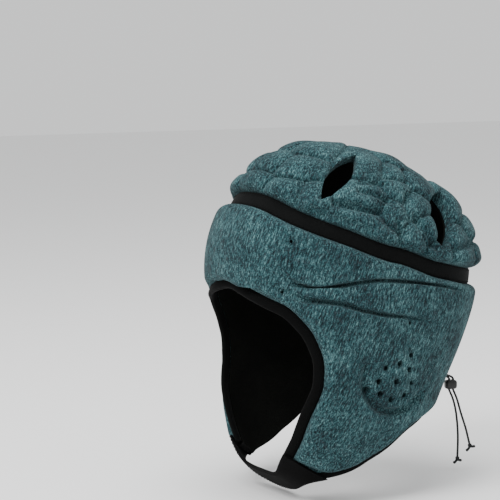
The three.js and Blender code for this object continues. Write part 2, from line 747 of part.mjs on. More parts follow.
function loopSolid(drop) {
  const outline = [
    [-loopWidth / 2, -loopFoot],
    [-loopWidth / 2, loopHeight - loopWall],
    [-loopWidth / 2 + loopWall, loopHeight],
    [loopWidth / 2 - loopWall, loopHeight],
    [loopWidth / 2, loopHeight - loopWall],
    [loopWidth / 2, -loopFoot],
    [loopWidth / 2 - loopWall, -loopFoot],
    [loopWidth / 2 - loopWall, loopHeight - loopWall],
    [-loopWidth / 2 + loopWall, loopHeight - loopWall],
    [-loopWidth / 2 + loopWall, -loopFoot],
  ];
  const shape = new THREE.Shape(outline.map(([x, y]) => new THREE.Vector2(x, y)));
  const geometry = new THREE.ExtrudeGeometry(shape, { depth: loopLength, bevelEnabled: false });
  geometry.translate(0, 0, -loopLength / 2);
  const out = outwardAt(rearAround(rimMiddle, drop), levelAt(drop));
  const down = onRear(rimMiddle, drop + 1, 0).sub(onRear(rimMiddle, drop - 1, 0)).normalize();
  const aside = out.clone().cross(down).normalize();
  const placing = new THREE.Matrix4().makeBasis(aside, out, aside.clone().cross(out));
  placing.setPosition(onRear(rimMiddle, drop, rimTop));
  return geometry.applyMatrix4(placing);
}

// The elastic band, a ring between the crown and the wrap
const around01 = (count) => Array.from({ length: count }, (_, i) => (2 * i) / count - 1);

function makeBand() {
  const bandLine = (s) => [s, bandMiddle(s)];
  const corners = [
    [-bandWidth / 2, foamBase],
    [-bandWidth / 2, foamBase + bandThickness],
    [bandWidth / 2, foamBase + bandThickness],
    [bandWidth / 2, foamBase],
  ];
  const sections = around01(bandColumns).map((s) =>
    corners.map(([below, out]) => onHead(...besideLine(bandLine, s, below), out)),
  );
  return geometryOf(loft(sections, true));
}

// The crown: pads with grooves between them, and foam that thins to the band and to the vents
const bothSides = (rows) =>
  rows.flatMap((row) => (row.around % 1 === 0 ? [row] : [row, { ...row, around: -row.around }]));

const padFrames = bothSides(crownPads).map(({ around, drop, stretch, turn, rise }) => {
  const depth = drop * wholeDrop;
  const probe = 0.01;
  const along = onHead(around + probe, depth, 0).sub(onHead(around - probe, depth, 0)).normalize();
  if (around < 0) along.negate();
  const out = outwardAt(around, levelAt(depth));
  const slant = around < 0 ? turn : -turn;
  along.applyAxisAngle(out, THREE.MathUtils.degToRad(slant));
  return { middle: onHead(around, depth, 0), along, stretch, rise };
});

function padHeight(place) {
  const distances = padFrames
    .map(({ middle, along, stretch, rise }) => {
      const away = place.clone().sub(middle);
      const length = away.dot(along);
      const across = away.addScaledVector(along, -length).length();
      return { distance: Math.hypot(length / stretch, across), rise };
    })
    .sort((a, b) => a.distance - b.distance);
  const [nearest, next] = distances;
  const share = mix(padGrooveShare, 1, shoulder(next.distance - nearest.distance, padGroove));
  const middling = dip(nearest.distance, padReach);
  const weights = distances.map(({ distance }) => Math.exp(-((distance / padBlend) ** 2)));
  const total = weights.reduce((sum, weight) => sum + weight);
  const rise = distances.reduce((sum, pad, i) => sum + pad.rise * weights[i], 0) / total;
  return { share, crowning: padCrowning * middling + rise * crownThickness };
}

const ventFrames = [1, -1].flatMap((side) =>
  crownVents.map((vent) => {
    const up = onHead(side * vent.upAround, vent.upDrop * wholeDrop, ventLift);
    const down = onHead(side * vent.downAround, vent.downDrop * wholeDrop, ventLift);
    const middleAround = (side * (vent.upAround + vent.downAround)) / 2;
    const middleDrop = ((vent.upDrop + vent.downDrop) / 2) * wholeDrop;
    const out = outwardAt(middleAround, levelAt(middleDrop));
    const line = down.clone().sub(up);
    const length = line.length();
    const along = line.normalize();
    const front = along.clone().cross(out).normalize().multiplyScalar(-side);
    return { ...vent, up, along, front, out, length };
  }),
);

function leafShare(t, widest) {
  const u = t < widest ? t / widest : (1 - t) / (1 - widest);
  return Math.sin((clamp(u, 0, 1) * Math.PI) / 2) ** leafPower;
}

function fromVent(vent, place) {
  const away = place.clone().sub(vent.up);
  const t = away.dot(vent.along) / vent.length;
  const aside = away.dot(vent.front);
  const bulge = (aside > 0 ? vent.frontBulge : vent.rearBulge) * leafShare(clamp(t, 0, 1), vent.widest);
  const past = Math.max(0, -t, t - 1) * vent.length;
  return Math.hypot(Math.max(0, Math.abs(aside) - bulge), past);
}

function crownFoam(around, drop, fromBand) {
  const place = onHead(around, drop, 0);
  const { share, crowning } = padHeight(place);
  const backward = clamp(-Math.cos(around * Math.PI), 0, 1);
  const low = clamp(drop / (bandRows[0].drop * wholeDrop) - 1, 0, 1);
  const full = crownThickness + crownRearExtra * backward * low;
  const high = onHead(around, drop, ventLift);
  const lip = Math.min(...ventFrames.map((vent) => fromVent(vent, high)));
  const lipLoss = 1 - ventLipShare * (1 - shoulder(lip, ventLip));
  const height = ((full - seamThickness) * share + crowning) * lipLoss;
  return seamThickness + height * shoulder(fromBand, shoulderWidth);
}

// How far down a crown's meridian reaches, and how many millimetres one unit of level is where it ends.
function meridianAt(around, bandGap) {
  const edge = levelAt(besideBand(around, -bandGap));
  const probe = 0.01;
  const millimetres = onLining(around, edge + probe).distanceTo(onLining(around, edge - probe)) / (2 * probe);
  return { edge, millimetres };
}

const dropAt = (level) => sectionAt(level).drop;

// Rings of points from the top of the head down. Each ring has one point for each column.
function crownRings(columns, rows, outOf) {
  const gap = bandWidth / 2 + edgeClearance;
  const meridians = around01(columns).map((around) => ({ around, ...meridianAt(around, gap) }));
  const top = [onHead(0, 0, outOf(0, 0, Infinity))];
  const rings = rows(meridians).map((shares) =>
    meridians.map(({ around, edge, millimetres }, j) => {
      const drop = dropAt(edge * shares[j]);
      return onHead(around, drop, outOf(around, drop, (1 - shares[j]) * edge * millimetres));
    }),
  );
  return [top, ...rings];
}

const crownRows = [0.12, 0.24, 0.36, 0.47, 0.57, 0.66, 0.75, 0.84];
const coarseCrownRows = [0.27, 0.5, 0.7, 0.86, 1];

const fineRows = (meridians) => [
  ...crownRows.map((share) => meridians.map(() => share)),
  ...[...edgeRows].reverse().map((share) =>
    meridians.map(({ edge, millimetres }) => 1 - (share * shoulderWidth) / (edge * millimetres)),
  ),
];
const coarseRows = (meridians) => coarseCrownRows.map((share) => meridians.map(() => share));

function domeTriangles([top, ...rings], flip) {
  const closed = rings.map((ring) => [...ring, ring[0]]);
  const fan = closed[0].slice(1).map((p, j) => (flip ? [top[0], p, closed[0][j]] : [top[0], closed[0][j], p]));
  return [...fan, ...gridTriangles(closed, !flip)];
}

function closedDome(outer, inner) {
  const rim = (rings) => {
    const last = rings[rings.length - 1];
    return [...last, last[0]];
  };
  return [...domeTriangles(outer, false), ...domeTriangles(inner, true), ...joinLines(rim(inner), rim(outer))];
}

function ventTool(vent) {
  const outline = [];
  for (let i = 0; i < 2 * ventSteps; i += 1) {
    const t = i < ventSteps ? i / ventSteps : 2 - i / ventSteps;
    const bulge = i < ventSteps ? vent.frontBulge : -vent.rearBulge;
    const p = vent.up.clone().addScaledVector(vent.along, t * vent.length);
    outline.push(p.addScaledVector(vent.front, bulge * leafShare(t, vent.widest)));
  }
  const moved = (out) => outline.map((p) => p.clone().addScaledVector(vent.out, out));
  const turns = new THREE.Vector3().crossVectors(vent.along, vent.front).dot(vent.out);
  const [low, high] = [moved(-ventReach / 2), moved(ventReach)];
  return geometryOf(turns > 0 ? loft([high, low]) : loft([low, high]));
}

const fineCrownColumns = 60;
const coarseCrownColumns = 30;

function makeCrown() {
  const out = (around, drop, fromBand) => foamBase + crownFoam(around, drop, fromBand);
  const outer = crownRings(fineCrownColumns, fineRows, out);
  const inner = crownRings(coarseCrownColumns, coarseRows, () => foamBase);
  return cut(geometryOf(closedDome(outer, inner)), ventFrames.map(ventTool));
}

function makeCrownLining() {
  const layer = (out) => [
    ...crownRings(coarseCrownColumns, coarseRows, () => out),
    around01(coarseCrownColumns).map((around) => onHead(around, besideBand(around, -liningGap / 2), out)),
  ];
  return cut(geometryOf(closedDome(layer(liningThickness), layer(0))), ventFrames.map(ventTool));
}

// The strip that closes the slit behind the lace
function makeGusset() {
  const rows = 10;
  const half = slitWidth / 2 - clearance;
  const top = besideBand(1, bandWidth / 2 + edgeClearance);
  const bottom = wrapRibs[napeCorner].farDrop * wholeDrop;
  const sections = Array.from({ length: rows + 1 }, (_, i) => {
    const drop = mix(top, bottom, i / rows);
    const [low, high] = [foamBase, foamBase + gussetThickness];
    return [onRear(-half, drop, high), onRear(half, drop, high), onRear(half, drop, low), onRear(-half, drop, low)];
  });
  return geometryOf(loft(sections));
}

// The chin strap: it lies over the end of each ear flap and runs level under the chin
const strapShares = [0, 0.33, 0.67, 1]; // across the strap, from its front edge to its rear one

function strapSections() {
  const base = Math.max(bindingThickness, rimTop) + clearance;
  const layers = [base, base + strapThickness];
  const lyingAt = (s) => {
    const front = besideLine(faceLine, s, bindingWidth - strapInset);
    const rear = besideLine(wrapFarLine, s, strapInset - rimWidth);
    const place = (t) => [mix(front[0], rear[0], t), mix(front[1], rear[1], t)];
    return layers.flatMap((out) => strapShares.map((t) => onHead(...place(t), out)));
  };
  const lie = [1, 0.5, 0].map((share) => lyingAt(lastRib - share * strapRibs));
  const root = lie[lie.length - 1];
  const before = lyingAt(lastRib - strapProbe);
  const [front, rear] = [strapFront, strapRear].map(({ y, below }) => point(0, y, -wholeDrop - below));
  const inward = point(1, 0, 0).cross(rear.clone().sub(front).normalize()).multiplyScalar(strapThickness);
  const across = (shift) => strapShares.map((t) => front.clone().lerp(rear, t).add(shift));
  const middle = [inward, point()].flatMap(across);
  const curves = root.map((p, i) => {
    const leave = p.clone().sub(before[i]).normalize().multiplyScalar(strapLeave);
    return new THREE.CubicBezierCurve3(p, p.clone().add(leave), middle[i].clone().setX(strapLevel), middle[i]);
  });
  const hanging = Array.from({ length: strapSteps }, (_, i) =>
    curves.map((curve) => curve.getPoint((i + 1) / strapSteps)),
  );
  const half = [...lie, ...hanging];
  return [...half, ...half.slice(0, -1).reverse().map((section) => section.map(mirrored))];
}

function makeStrap() {
  const across = strapShares.length;
  const sections = strapSections().map((points) => [...points.slice(0, across), ...points.slice(across).reverse()]);
  return geometryOf(loft(sections));
}

// Lace: up one side of the slit, over the top and down the other, crossing between the loops
const lockMiddle = point(lockPlace.x, lockPlace.y, -lockPlace.drop * wholeDrop);
const lockAxis = point(Math.sin(lockTurn), Math.cos(lockTurn), 0);
const holeMiddle = (side) => lockMiddle.clone().addScaledVector(lockAxis, (side * lockHoleSpread) / 2);
const roundOutline = new THREE.Shape(
  Array.from({ length: laceSides }, (_, i) => {
    const turn = (2 * Math.PI * i) / laceSides;
    return new THREE.Vector2((laceDiameter / 2) * Math.cos(turn), (laceDiameter / 2) * Math.sin(turn));
  }),
);

function cordAlong(points) {
  const curve = new THREE.CatmullRomCurve3(points, false, "centripetal");
  const steps = Math.round(curve.getLength() / laceStep);
  return new THREE.ExtrudeGeometry(roundOutline, { steps, bevelEnabled: false, extrudePath: curve });
}

function laceStrand(firstSide, hole) {
  const height = rimTop + (loopHeight - loopWall) / 2;
  const reach = loopLength / 2 + loopLead;
  const points = [];
  loopDrops.forEach((share, k) => {
    const side = k % 2 === 0 ? firstSide : -firstSide;
    const drop = share * wholeDrop;
    points.push(onRear(side * rimMiddle, drop - reach, height), onRear(side * rimMiddle, drop + reach, height));
    if (k + 1 < loopDrops.length) {
      const next = ((share + loopDrops[k + 1]) / 2) * wholeDrop;
      const across = onHead(1, next, height + firstSide * crossingRise * (k % 2 === 0 ? 1 : -1));
      points.push(across);
    }
  });
  const mouth = holeMiddle(hole);
  const above = mouth.clone().setZ(lockMiddle.z + lockHeight / 2 + lockLead);
  const below = mouth.clone().setZ(lockMiddle.z - lockHeight / 2 + 2 * clearance);
  return [...points, above, mouth, below];
}

function makeRearLace() {
  const [long, short] = [laceStrand(1, -1), laceStrand(-1, 1)];
  return cordAlong([...long.reverse(), ...short]);
}

function makeLock() {
  const [x, y] = [lockLength / 2 - lockBevel, lockWidth / 2 - lockBevel];
  const outline = [
    [x, lockCorner - y],
    [x, y - lockCorner],
    [x - lockCorner, y],
    [lockCorner - x, y],
    [-x, y - lockCorner],
    [-x, lockCorner - y],
    [lockCorner - x, -y],
    [x - lockCorner, -y],
  ];
  const shape = new THREE.Shape(outline.map(([u, v]) => new THREE.Vector2(u, v)));
  const depth = lockHeight - 2 * lockBevel;
  const bevel = { bevelEnabled: true, bevelSize: lockBevel, bevelThickness: lockBevel, bevelSegments: 2 };
  const body = new THREE.ExtrudeGeometry(shape, { depth, ...bevel });
  body.translate(0, 0, -depth / 2).rotateZ(Math.PI / 2 - lockTurn).translate(...lockMiddle.toArray());
  const holes = [1, -1].map((side) => {
    const hole = new THREE.CylinderGeometry(lockHole / 2, lockHole / 2, lockHeight * 2, 10);
    return hole.rotateX(Math.PI / 2).translate(...holeMiddle(side).toArray());
  });
  return cut(body, holes);
}

const routePoint = ({ x, y, z }) => lockMiddle.clone().add(point(x, y, z));

function makeLaceEnd(end, hole) {
  const start = holeMiddle(hole).setZ(lockMiddle.z - lockHeight / 2 + clearance);
  return cordAlong([start, ...end.route.map(routePoint)]);
}

function makeKnot(end) {
  const last = routePoint(end.route[end.route.length - 1]);
  const before = routePoint(end.route[end.route.length - 2]);
  const along = last.clone().sub(before).normalize();
  const middle = last.clone().addScaledVector(along, clearance + knotDiameter / 2);
  const bead = new THREE.IcosahedronGeometry(knotDiameter / 2, 1).translate(...middle.toArray());
  const tails = end.tails.map(({ x, y, z }) => {
    const reach = point(x, y, z);
    const length = reach.length();
    const tail = new THREE.CylinderGeometry(tailDiameter / 2, tailDiameter / 2.6, length, 6);
    tail.translate(0, length / 2, 0);
    tail.applyQuaternion(new THREE.Quaternion().setFromUnitVectors(point(0, 1, 0), reach.normalize()));
    return tail.translate(...middle.toArray());
  });
  return joined([bead, ...tails]);
}

function build() {
  const group = new THREE.Group();
  const add = (name, geometry, color, roughness) => {
    const material = new THREE.MeshStandardMaterial({ color, roughness, metalness: 0 });
    const flat = geometry.index ? geometry.toNonIndexed() : geometry;
    flat.computeVertexNormals();
    const mesh = new THREE.Mesh(flat, material);
    mesh.name = name;
    group.add(mesh);
  };
  add("crown", makeCrown(), teal, 0.9);
  add("crown_lining", makeCrownLining(), liningBlack, 0.85);
  add("crown_band", makeBand(), nearBlack, 0.75);
  add("side_wrap", makeWrap(), teal, 0.9);
  add("side_lining", makeSideLining(), liningBlack, 0.85);
  add("face_binding", makeFaceBinding(), nearBlack, 0.8);
  add("lower_binding_left", makeRim(1), nearBlack, 0.8);
  add("lower_binding_right", makeRim(-1), nearBlack, 0.8);
  add("nape_gusset", makeGusset(), nearBlack, 0.85);
  add("chin_strap", makeStrap(), nearBlack, 0.8);
  add("rear_lace", makeRearLace(), laceGrey, 0.7);
  add("cord_lock", makeLock(), nearBlack, 0.45);
  add("lace_end_long", makeLaceEnd(longEnd, -1), laceGrey, 0.7);
  add("lace_end_short", makeLaceEnd(shortEnd, 1), laceGrey, 0.7);
  add("lace_knot_long", makeKnot(longEnd), laceGrey, 0.7);
  add("lace_knot_short", makeKnot(shortEnd), laceGrey, 0.7);
  return group;
}

export default build();
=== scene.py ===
"""A rugby scrum cap: a quilted crown and a padded wrap, joined by an elastic band.

It has bound edges, a chin strap and a laced slit at the back. Sizes are in millimetres up to the last step,
where each piece turns them into metres. The wearer faces -Y, the wearer's left side is +X, and the origin is
where the top of the head touches the lining.
"""
import logging
import math
from dataclasses import dataclass, field
from enum import Enum
from typing import Callable, Sequence

import bmesh
import bpy
import numpy as np
from mathutils import Matrix, Vector


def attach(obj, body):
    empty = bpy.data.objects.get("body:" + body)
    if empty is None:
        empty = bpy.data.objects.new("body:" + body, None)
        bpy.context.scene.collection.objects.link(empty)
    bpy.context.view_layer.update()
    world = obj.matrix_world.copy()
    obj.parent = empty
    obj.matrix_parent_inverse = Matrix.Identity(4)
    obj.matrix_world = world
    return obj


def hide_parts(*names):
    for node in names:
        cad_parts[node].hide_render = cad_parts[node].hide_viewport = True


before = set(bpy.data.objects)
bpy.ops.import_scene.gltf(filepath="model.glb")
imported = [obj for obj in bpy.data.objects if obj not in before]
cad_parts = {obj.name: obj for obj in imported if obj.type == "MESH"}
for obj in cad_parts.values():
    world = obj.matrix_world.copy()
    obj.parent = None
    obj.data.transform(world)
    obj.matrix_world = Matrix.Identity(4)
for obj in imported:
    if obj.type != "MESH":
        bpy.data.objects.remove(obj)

LOG = logging.getLogger("scrum_cap")
METRES = 0.001
Line = Callable[[np.ndarray], tuple]


class Table:
    """Rows with named columns, read smoothly between the rows.

    Args:
        columns: The columns' names, the key first.
        rows: One row of numbers for each place.
    """

    def __init__(self, columns: str, rows: Sequence[Sequence[float]]) -> None:
        """Keeps the columns' names and the rows."""
        self.columns = columns.split()
        self.rows = np.array(rows, float)

    def column(self, name: str) -> np.ndarray:
        """Returns one column."""
        return self.rows[:, self.columns.index(name)]

    def read(self, name: str, place: np.ndarray) -> np.ndarray:
        """Returns a column's value at places between the rows.

        Args:
            name: The column.
            place: Values of the key.

        Returns:
            The column's values there.
        """
        place = np.asarray(place, float)
        keys, values = self.rows[:, 0], self.column(name)
        count = len(keys)
        i = np.clip(np.searchsorted(keys, place), 1, count - 1)
        order = np.arange(count)
        before, after = np.maximum(order - 1, 0), np.minimum(order + 1, count - 1)
        slope = (values[after] - values[before]) / (keys[after] - keys[before])
        step = keys[i] - keys[i - 1]
        t = (place - keys[i - 1]) / step
        t2, t3 = t * t, t * t * t
        return (
            values[i - 1] * (2 * t3 - 3 * t2 + 1)
            + slope[i - 1] * step * (t3 - 2 * t2 + t)
            + values[i] * (3 * t2 - 2 * t3)
            + slope[i] * step * (t3 - t2)
        )


# Sections of the hollow below its widest level, as shares of the side's height and of the head's half sizes
LOWER_SECTIONS = Table("below width front back egg", [
    (0.0, 1.0, 1.0, 1.1, 0.05),
    (0.146, 1.035, 1.09, 1.045, 0.04),
    (0.34, 1.01, 1.1, 0.935, 0.0),
    (0.535, 0.98, 1.04, 0.775, -0.02),
    (0.73, 0.93, 0.91, 0.61, 0.0),
    (1.0, 0.72, 0.72, 0.5, -0.12),
])

# Height of the middle of the band, from the middle of the forehead to the middle of the back
BAND_ROWS = [
    (0.0, 0.139),
    (0.12, 0.15),
    (0.25, 0.189),
    (0.4, 0.247),
    (0.5, 0.303),
    (0.6, 0.358),
    (0.8, 0.4),
    (1.0, 0.405),
]

# Ribs of one side of the wrap, with each end's place. A far end with no drop of its own lies on the band.
WRAP_RIBS = [
    (0, 0.0, 0.381, 0.0, None),
    (1, 0.08, 0.402, 0.115, None),
    (2, 0.161, 0.427, 0.24, None),
    (3, 0.24, 0.457, 0.38, None),
    (4, 0.303, 0.515, 0.54, None),
    (5, 0.336, 0.578, 0.76, None),
    (6, 0.347, 0.62, 1.0, None),
    (7, 0.348, 0.66, 1.0, 0.6),
    (8, 0.343, 0.701, 1.0, 0.775),
    (9, 0.323, 0.744, 0.8, 0.8),
    (10, 0.298, 0.785, 0.63, 0.834),
    (11, 0.274, 0.826, 0.53, 0.895),
    (12, 0.24, 0.878, 0.43, 0.949),
    (13, 0.183, 0.941, 0.27, 0.976),
]

# Where the two folds of one side cross the ribs, and how deep they are there
WRAP_FOLDS = Table("rib low high low_depth high_depth", [
    (0, 0.35, 0.65, 0, 0),
    (1, 0.32, 0.6, 0, 0),
    (2, 0.24, 0.42, 0, 0),
    (3, 0.14, 0.345, 0.35, 0.8),
    (4, 0.39, 0.84, 1, 0.9),
    (5, 0.5, 0.88, 0.2, 0),
    (6, 0.42, 0.7, 0, 0),
    (9, 0.34, 0.66, 0, 0),
    (13, 0.34, 0.66, 0, 0),
])

# Middles of the crown's pads on one side: around, drop, stretch, turn in degrees, and rise
CROWN_PADS = [
    (0.0, 0.1, 1.3, 0, 0.1),
    (0.0, 0.052, 1.3, 0, 0.2),
    (0.187, 0.124, 1.3, 0, 0),
    (0.216, 0.06, 1.2, 0, 0.1),
    (0.25, 0.012, 1, 0, 0),
    (0.3, 0.142, 1.2, 20, 0),
    (0.535, 0.056, 1.5, 0, 0),
    (0.455, 0.143, 1.9, 5, 0),
    (0.43, 0.212, 2.4, 22, 0),
    (0.569, 0.124, 1, 0, 0),
    (0.514, 0.19, 1, 0, 0),
    (0.594, 0.176, 1, 0, 0),
    (0.54, 0.27, 0.8, 0, 0),
    (0.592, 0.235, 0.8, 0, 0),
    (0.6, 0.33, 1.1, 0, 0),
    (0.7, 0.338, 1.1, 0, 0),
    (0.858, 0.27, 1, 0, 0.3),
    (0.85, 0.19, 1, 0, 0.35),
    (0.85, 0.35, 1, 0, 0.05),
    (0.7, 0.113, 1, 0, -0.05),
    (0.62, 0.08, 1, 0, -0.35),
    (0.8, 0.05, 1, 0, -0.2),
    (1.0, 0.1, 1.2, 0, 0),
    (1.0, 0.17, 1.2, 0, 0),
    (1.0, 0.26, 1.2, 0, 0),
    (1.0, 0.35, 1.2, 0, 0),
]

# Creases pressed into each side of the crown. Each has a half width and a depth, then its places, as around
# and drop in millimetres.
CROWN_CREASES = [
    (3.8, 3.6, [(0.37, 36.4), (0.406, 39.1), (0.444, 41.1), (0.492, 45.3)]),
    (4.0, 4.0, [(0.3, 41.6), (0.334, 45.2), (0.371, 47.2), (0.402, 50.7), (0.45, 56.6)]),
    (3.4, 2.8, [(0.46, 25.4), (0.531, 26.9)]),
    (3.4, 2.8, [(0.45, 31.2), (0.525, 39.2)]),
    (3.6, 3.6, [(0.513, 52.8), (0.512, 69.4)]),
    (3.8, 4.0, [(0.566, 49.5), (0.592, 71.8)]),
    (3.8, 3.8, [(0.655, 75.6), (0.74, 73.6), (0.83, 72.0)]),
    (3.2, 3.0, [(0.578, 34.9), (0.561, 42.3)]),
]

# Leaf-shaped vents on one side. Each has its upper tip and its lower tip, as around and drop, the bulge of
# its front and rear edges in millimetres, and the share of its length where it is widest.
CROWN_VENTS = [
    (0.53, 0.031, 0.324, 0.147, 8.6, 8.0, 0.52),
    (0.815, 0.153, 0.612, 0.313, 8.0, 18.0, 0.45),
]

# Holes through each side of the wrap: around, drop, and width in millimetres
WRAP_HOLES = [
    (0.544, 0.608, 3.6),
    (0.518, 0.63, 4),
    (0.495, 0.64, 3.4),
    (0.546, 0.651, 3.6),
    (0.485, 0.68, 4),
    (0.518, 0.685, 4),
    (0.564, 0.695, 3.6),
    (0.463, 0.705, 4),
    (0.492, 0.719, 4),
    (0.551, 0.733, 3.6),
    (0.515, 0.742, 4),
    (0.209, 0.414, 2.2),
    (0.525, 0.507, 2.2),
    (0.235, 0.256, 2.2),
]

# Drops of the lace loops, and the place of the lock and its turn about the upright axis in radians
LOOP_DROPS = (0.46, 0.54, 0.62, 0.7)
LOCK_PLACE = (13.0, 101.0, -190.4)
LOCK_TURN = 0.25

# Routes of the two free cord ends from the lock, and how far each knot's two tails reach
LONG_ROUTE = [(0.2, 2.2, -12.2), (0.4, 4.6, -20.4), (0.5, 6.5, -32.6), (0.5, 7.3, -44.9), (0.4, 7.0, -60.1)]
LONG_TAILS = [(0.8, -4.4, -2.6), (-0.8, 4.2, -1.8)]
SHORT_ROUTE = [(0.3, 6.0, -12.2), (0.8, 9.9, -24.4), (1.2, 14.8, -38.3), (1.5, 18.2, -50.6)]
SHORT_TAILS = [(0.6, -4.2, -3.4), (-0.4, 5.0, -0.8)]


@dataclass(frozen=True)
class HeadSizes:
    """The hollow that the head fills, lining to lining."""

    width: float = 151.0
    length: float = 185.0
    crown: float = 95.0
    lean: float = 12.5
    side: float = 147.0
    roundness: float = 2.4
    dome: float = 1.97

    @property
    def whole(self) -> float:
        """Height from the top of the head to the end of the ear flaps."""
        return self.crown + self.side


@dataclass(frozen=True)
class Layers:
    """Thicknesses measured out from the head, and the gaps between pieces."""

    lining: float = 1.0
    base: float = 1.5
    clearance: float = 0.3
    lining_gap: float = 1.8
    edge_gap: float = 1.0
    seam: float = 2.6
    shoulder: float = 6.0
    band_width: float = 10.0
    band_thickness: float = 2.2
    binding_width: float = 8.0
    binding_thickness: float = 4.6
    rim_width: float = 6.0
    rim_thickness: float = 3.6
    slit_width: float = 7.0

    @property
    def rim_top(self) -> float:
        """How far out the rim's outer face lies."""
        return self.base + self.rim_thickness

    @property
    def rim_middle(self) -> float:
        """How far the middle of the rim lies beside the middle of the slit."""
        return self.slit_width / 2 + self.rim_width / 2


def signed_power(base: np.ndarray, power: float) -> np.ndarray:
    """Returns the power of the absolute value, with the sign kept."""
    return np.sign(base) * np.abs(base) ** power


def unit(vectors: np.ndarray) -> np.ndarray:
    """Returns the vectors at length one."""
    return vectors / np.maximum(np.linalg.norm(vectors, axis=-1, keepdims=True), 1e-9)


def dot(a: np.ndarray, b: np.ndarray) -> np.ndarray:
    """Returns the dot products of two arrays of vectors."""
    return (a * b).sum(-1)


def shoulder(distance: np.ndarray, width: float) -> np.ndarray:
    """A quarter round: 0 at a seam and 1 where the foam is at full height."""
    t = np.clip(np.asarray(distance) / width, 0, 1)
    return np.sqrt(1 - (1 - t) ** 2)


def dip(distance: np.ndarray, half_width: float) -> np.ndarray:
    """A smooth dip, 1 in its middle and 0 at half_width."""
    t = np.clip(np.abs(distance) / half_width, 0, 1)
    return (1 - t * t) ** 2


def mix(a: np.ndarray, b: np.ndarray, t: np.ndarray) -> np.ndarray:
    """Returns the value that is the share t of the way from a to b."""
    return a + (b - a) * t


def line_distance(places: np.ndarray, line: np.ndarray, chunk: int = 1500) -> np.ndarray:
    """Returns each place's distance from a line of points.

    Args:
        places: Points, as rows.
        line: The line's points, as rows.
        chunk: How many places are worked out together.

    Returns:
        The distances.
    """
    start, run = line[:-1], np.diff(line, axis=0)
    whole = np.maximum(dot(run, run), 1e-12)
    parts = []
    for i in range(0, len(places), chunk):
        away = places[i:i + chunk, None, :] - start[None]
        t = np.clip(dot(away, run[None]) / whole, 0, 1)
        parts.append(np.linalg.norm(away - t[..., None] * run[None], axis=-1).min(1))
    return np.concatenate(parts)


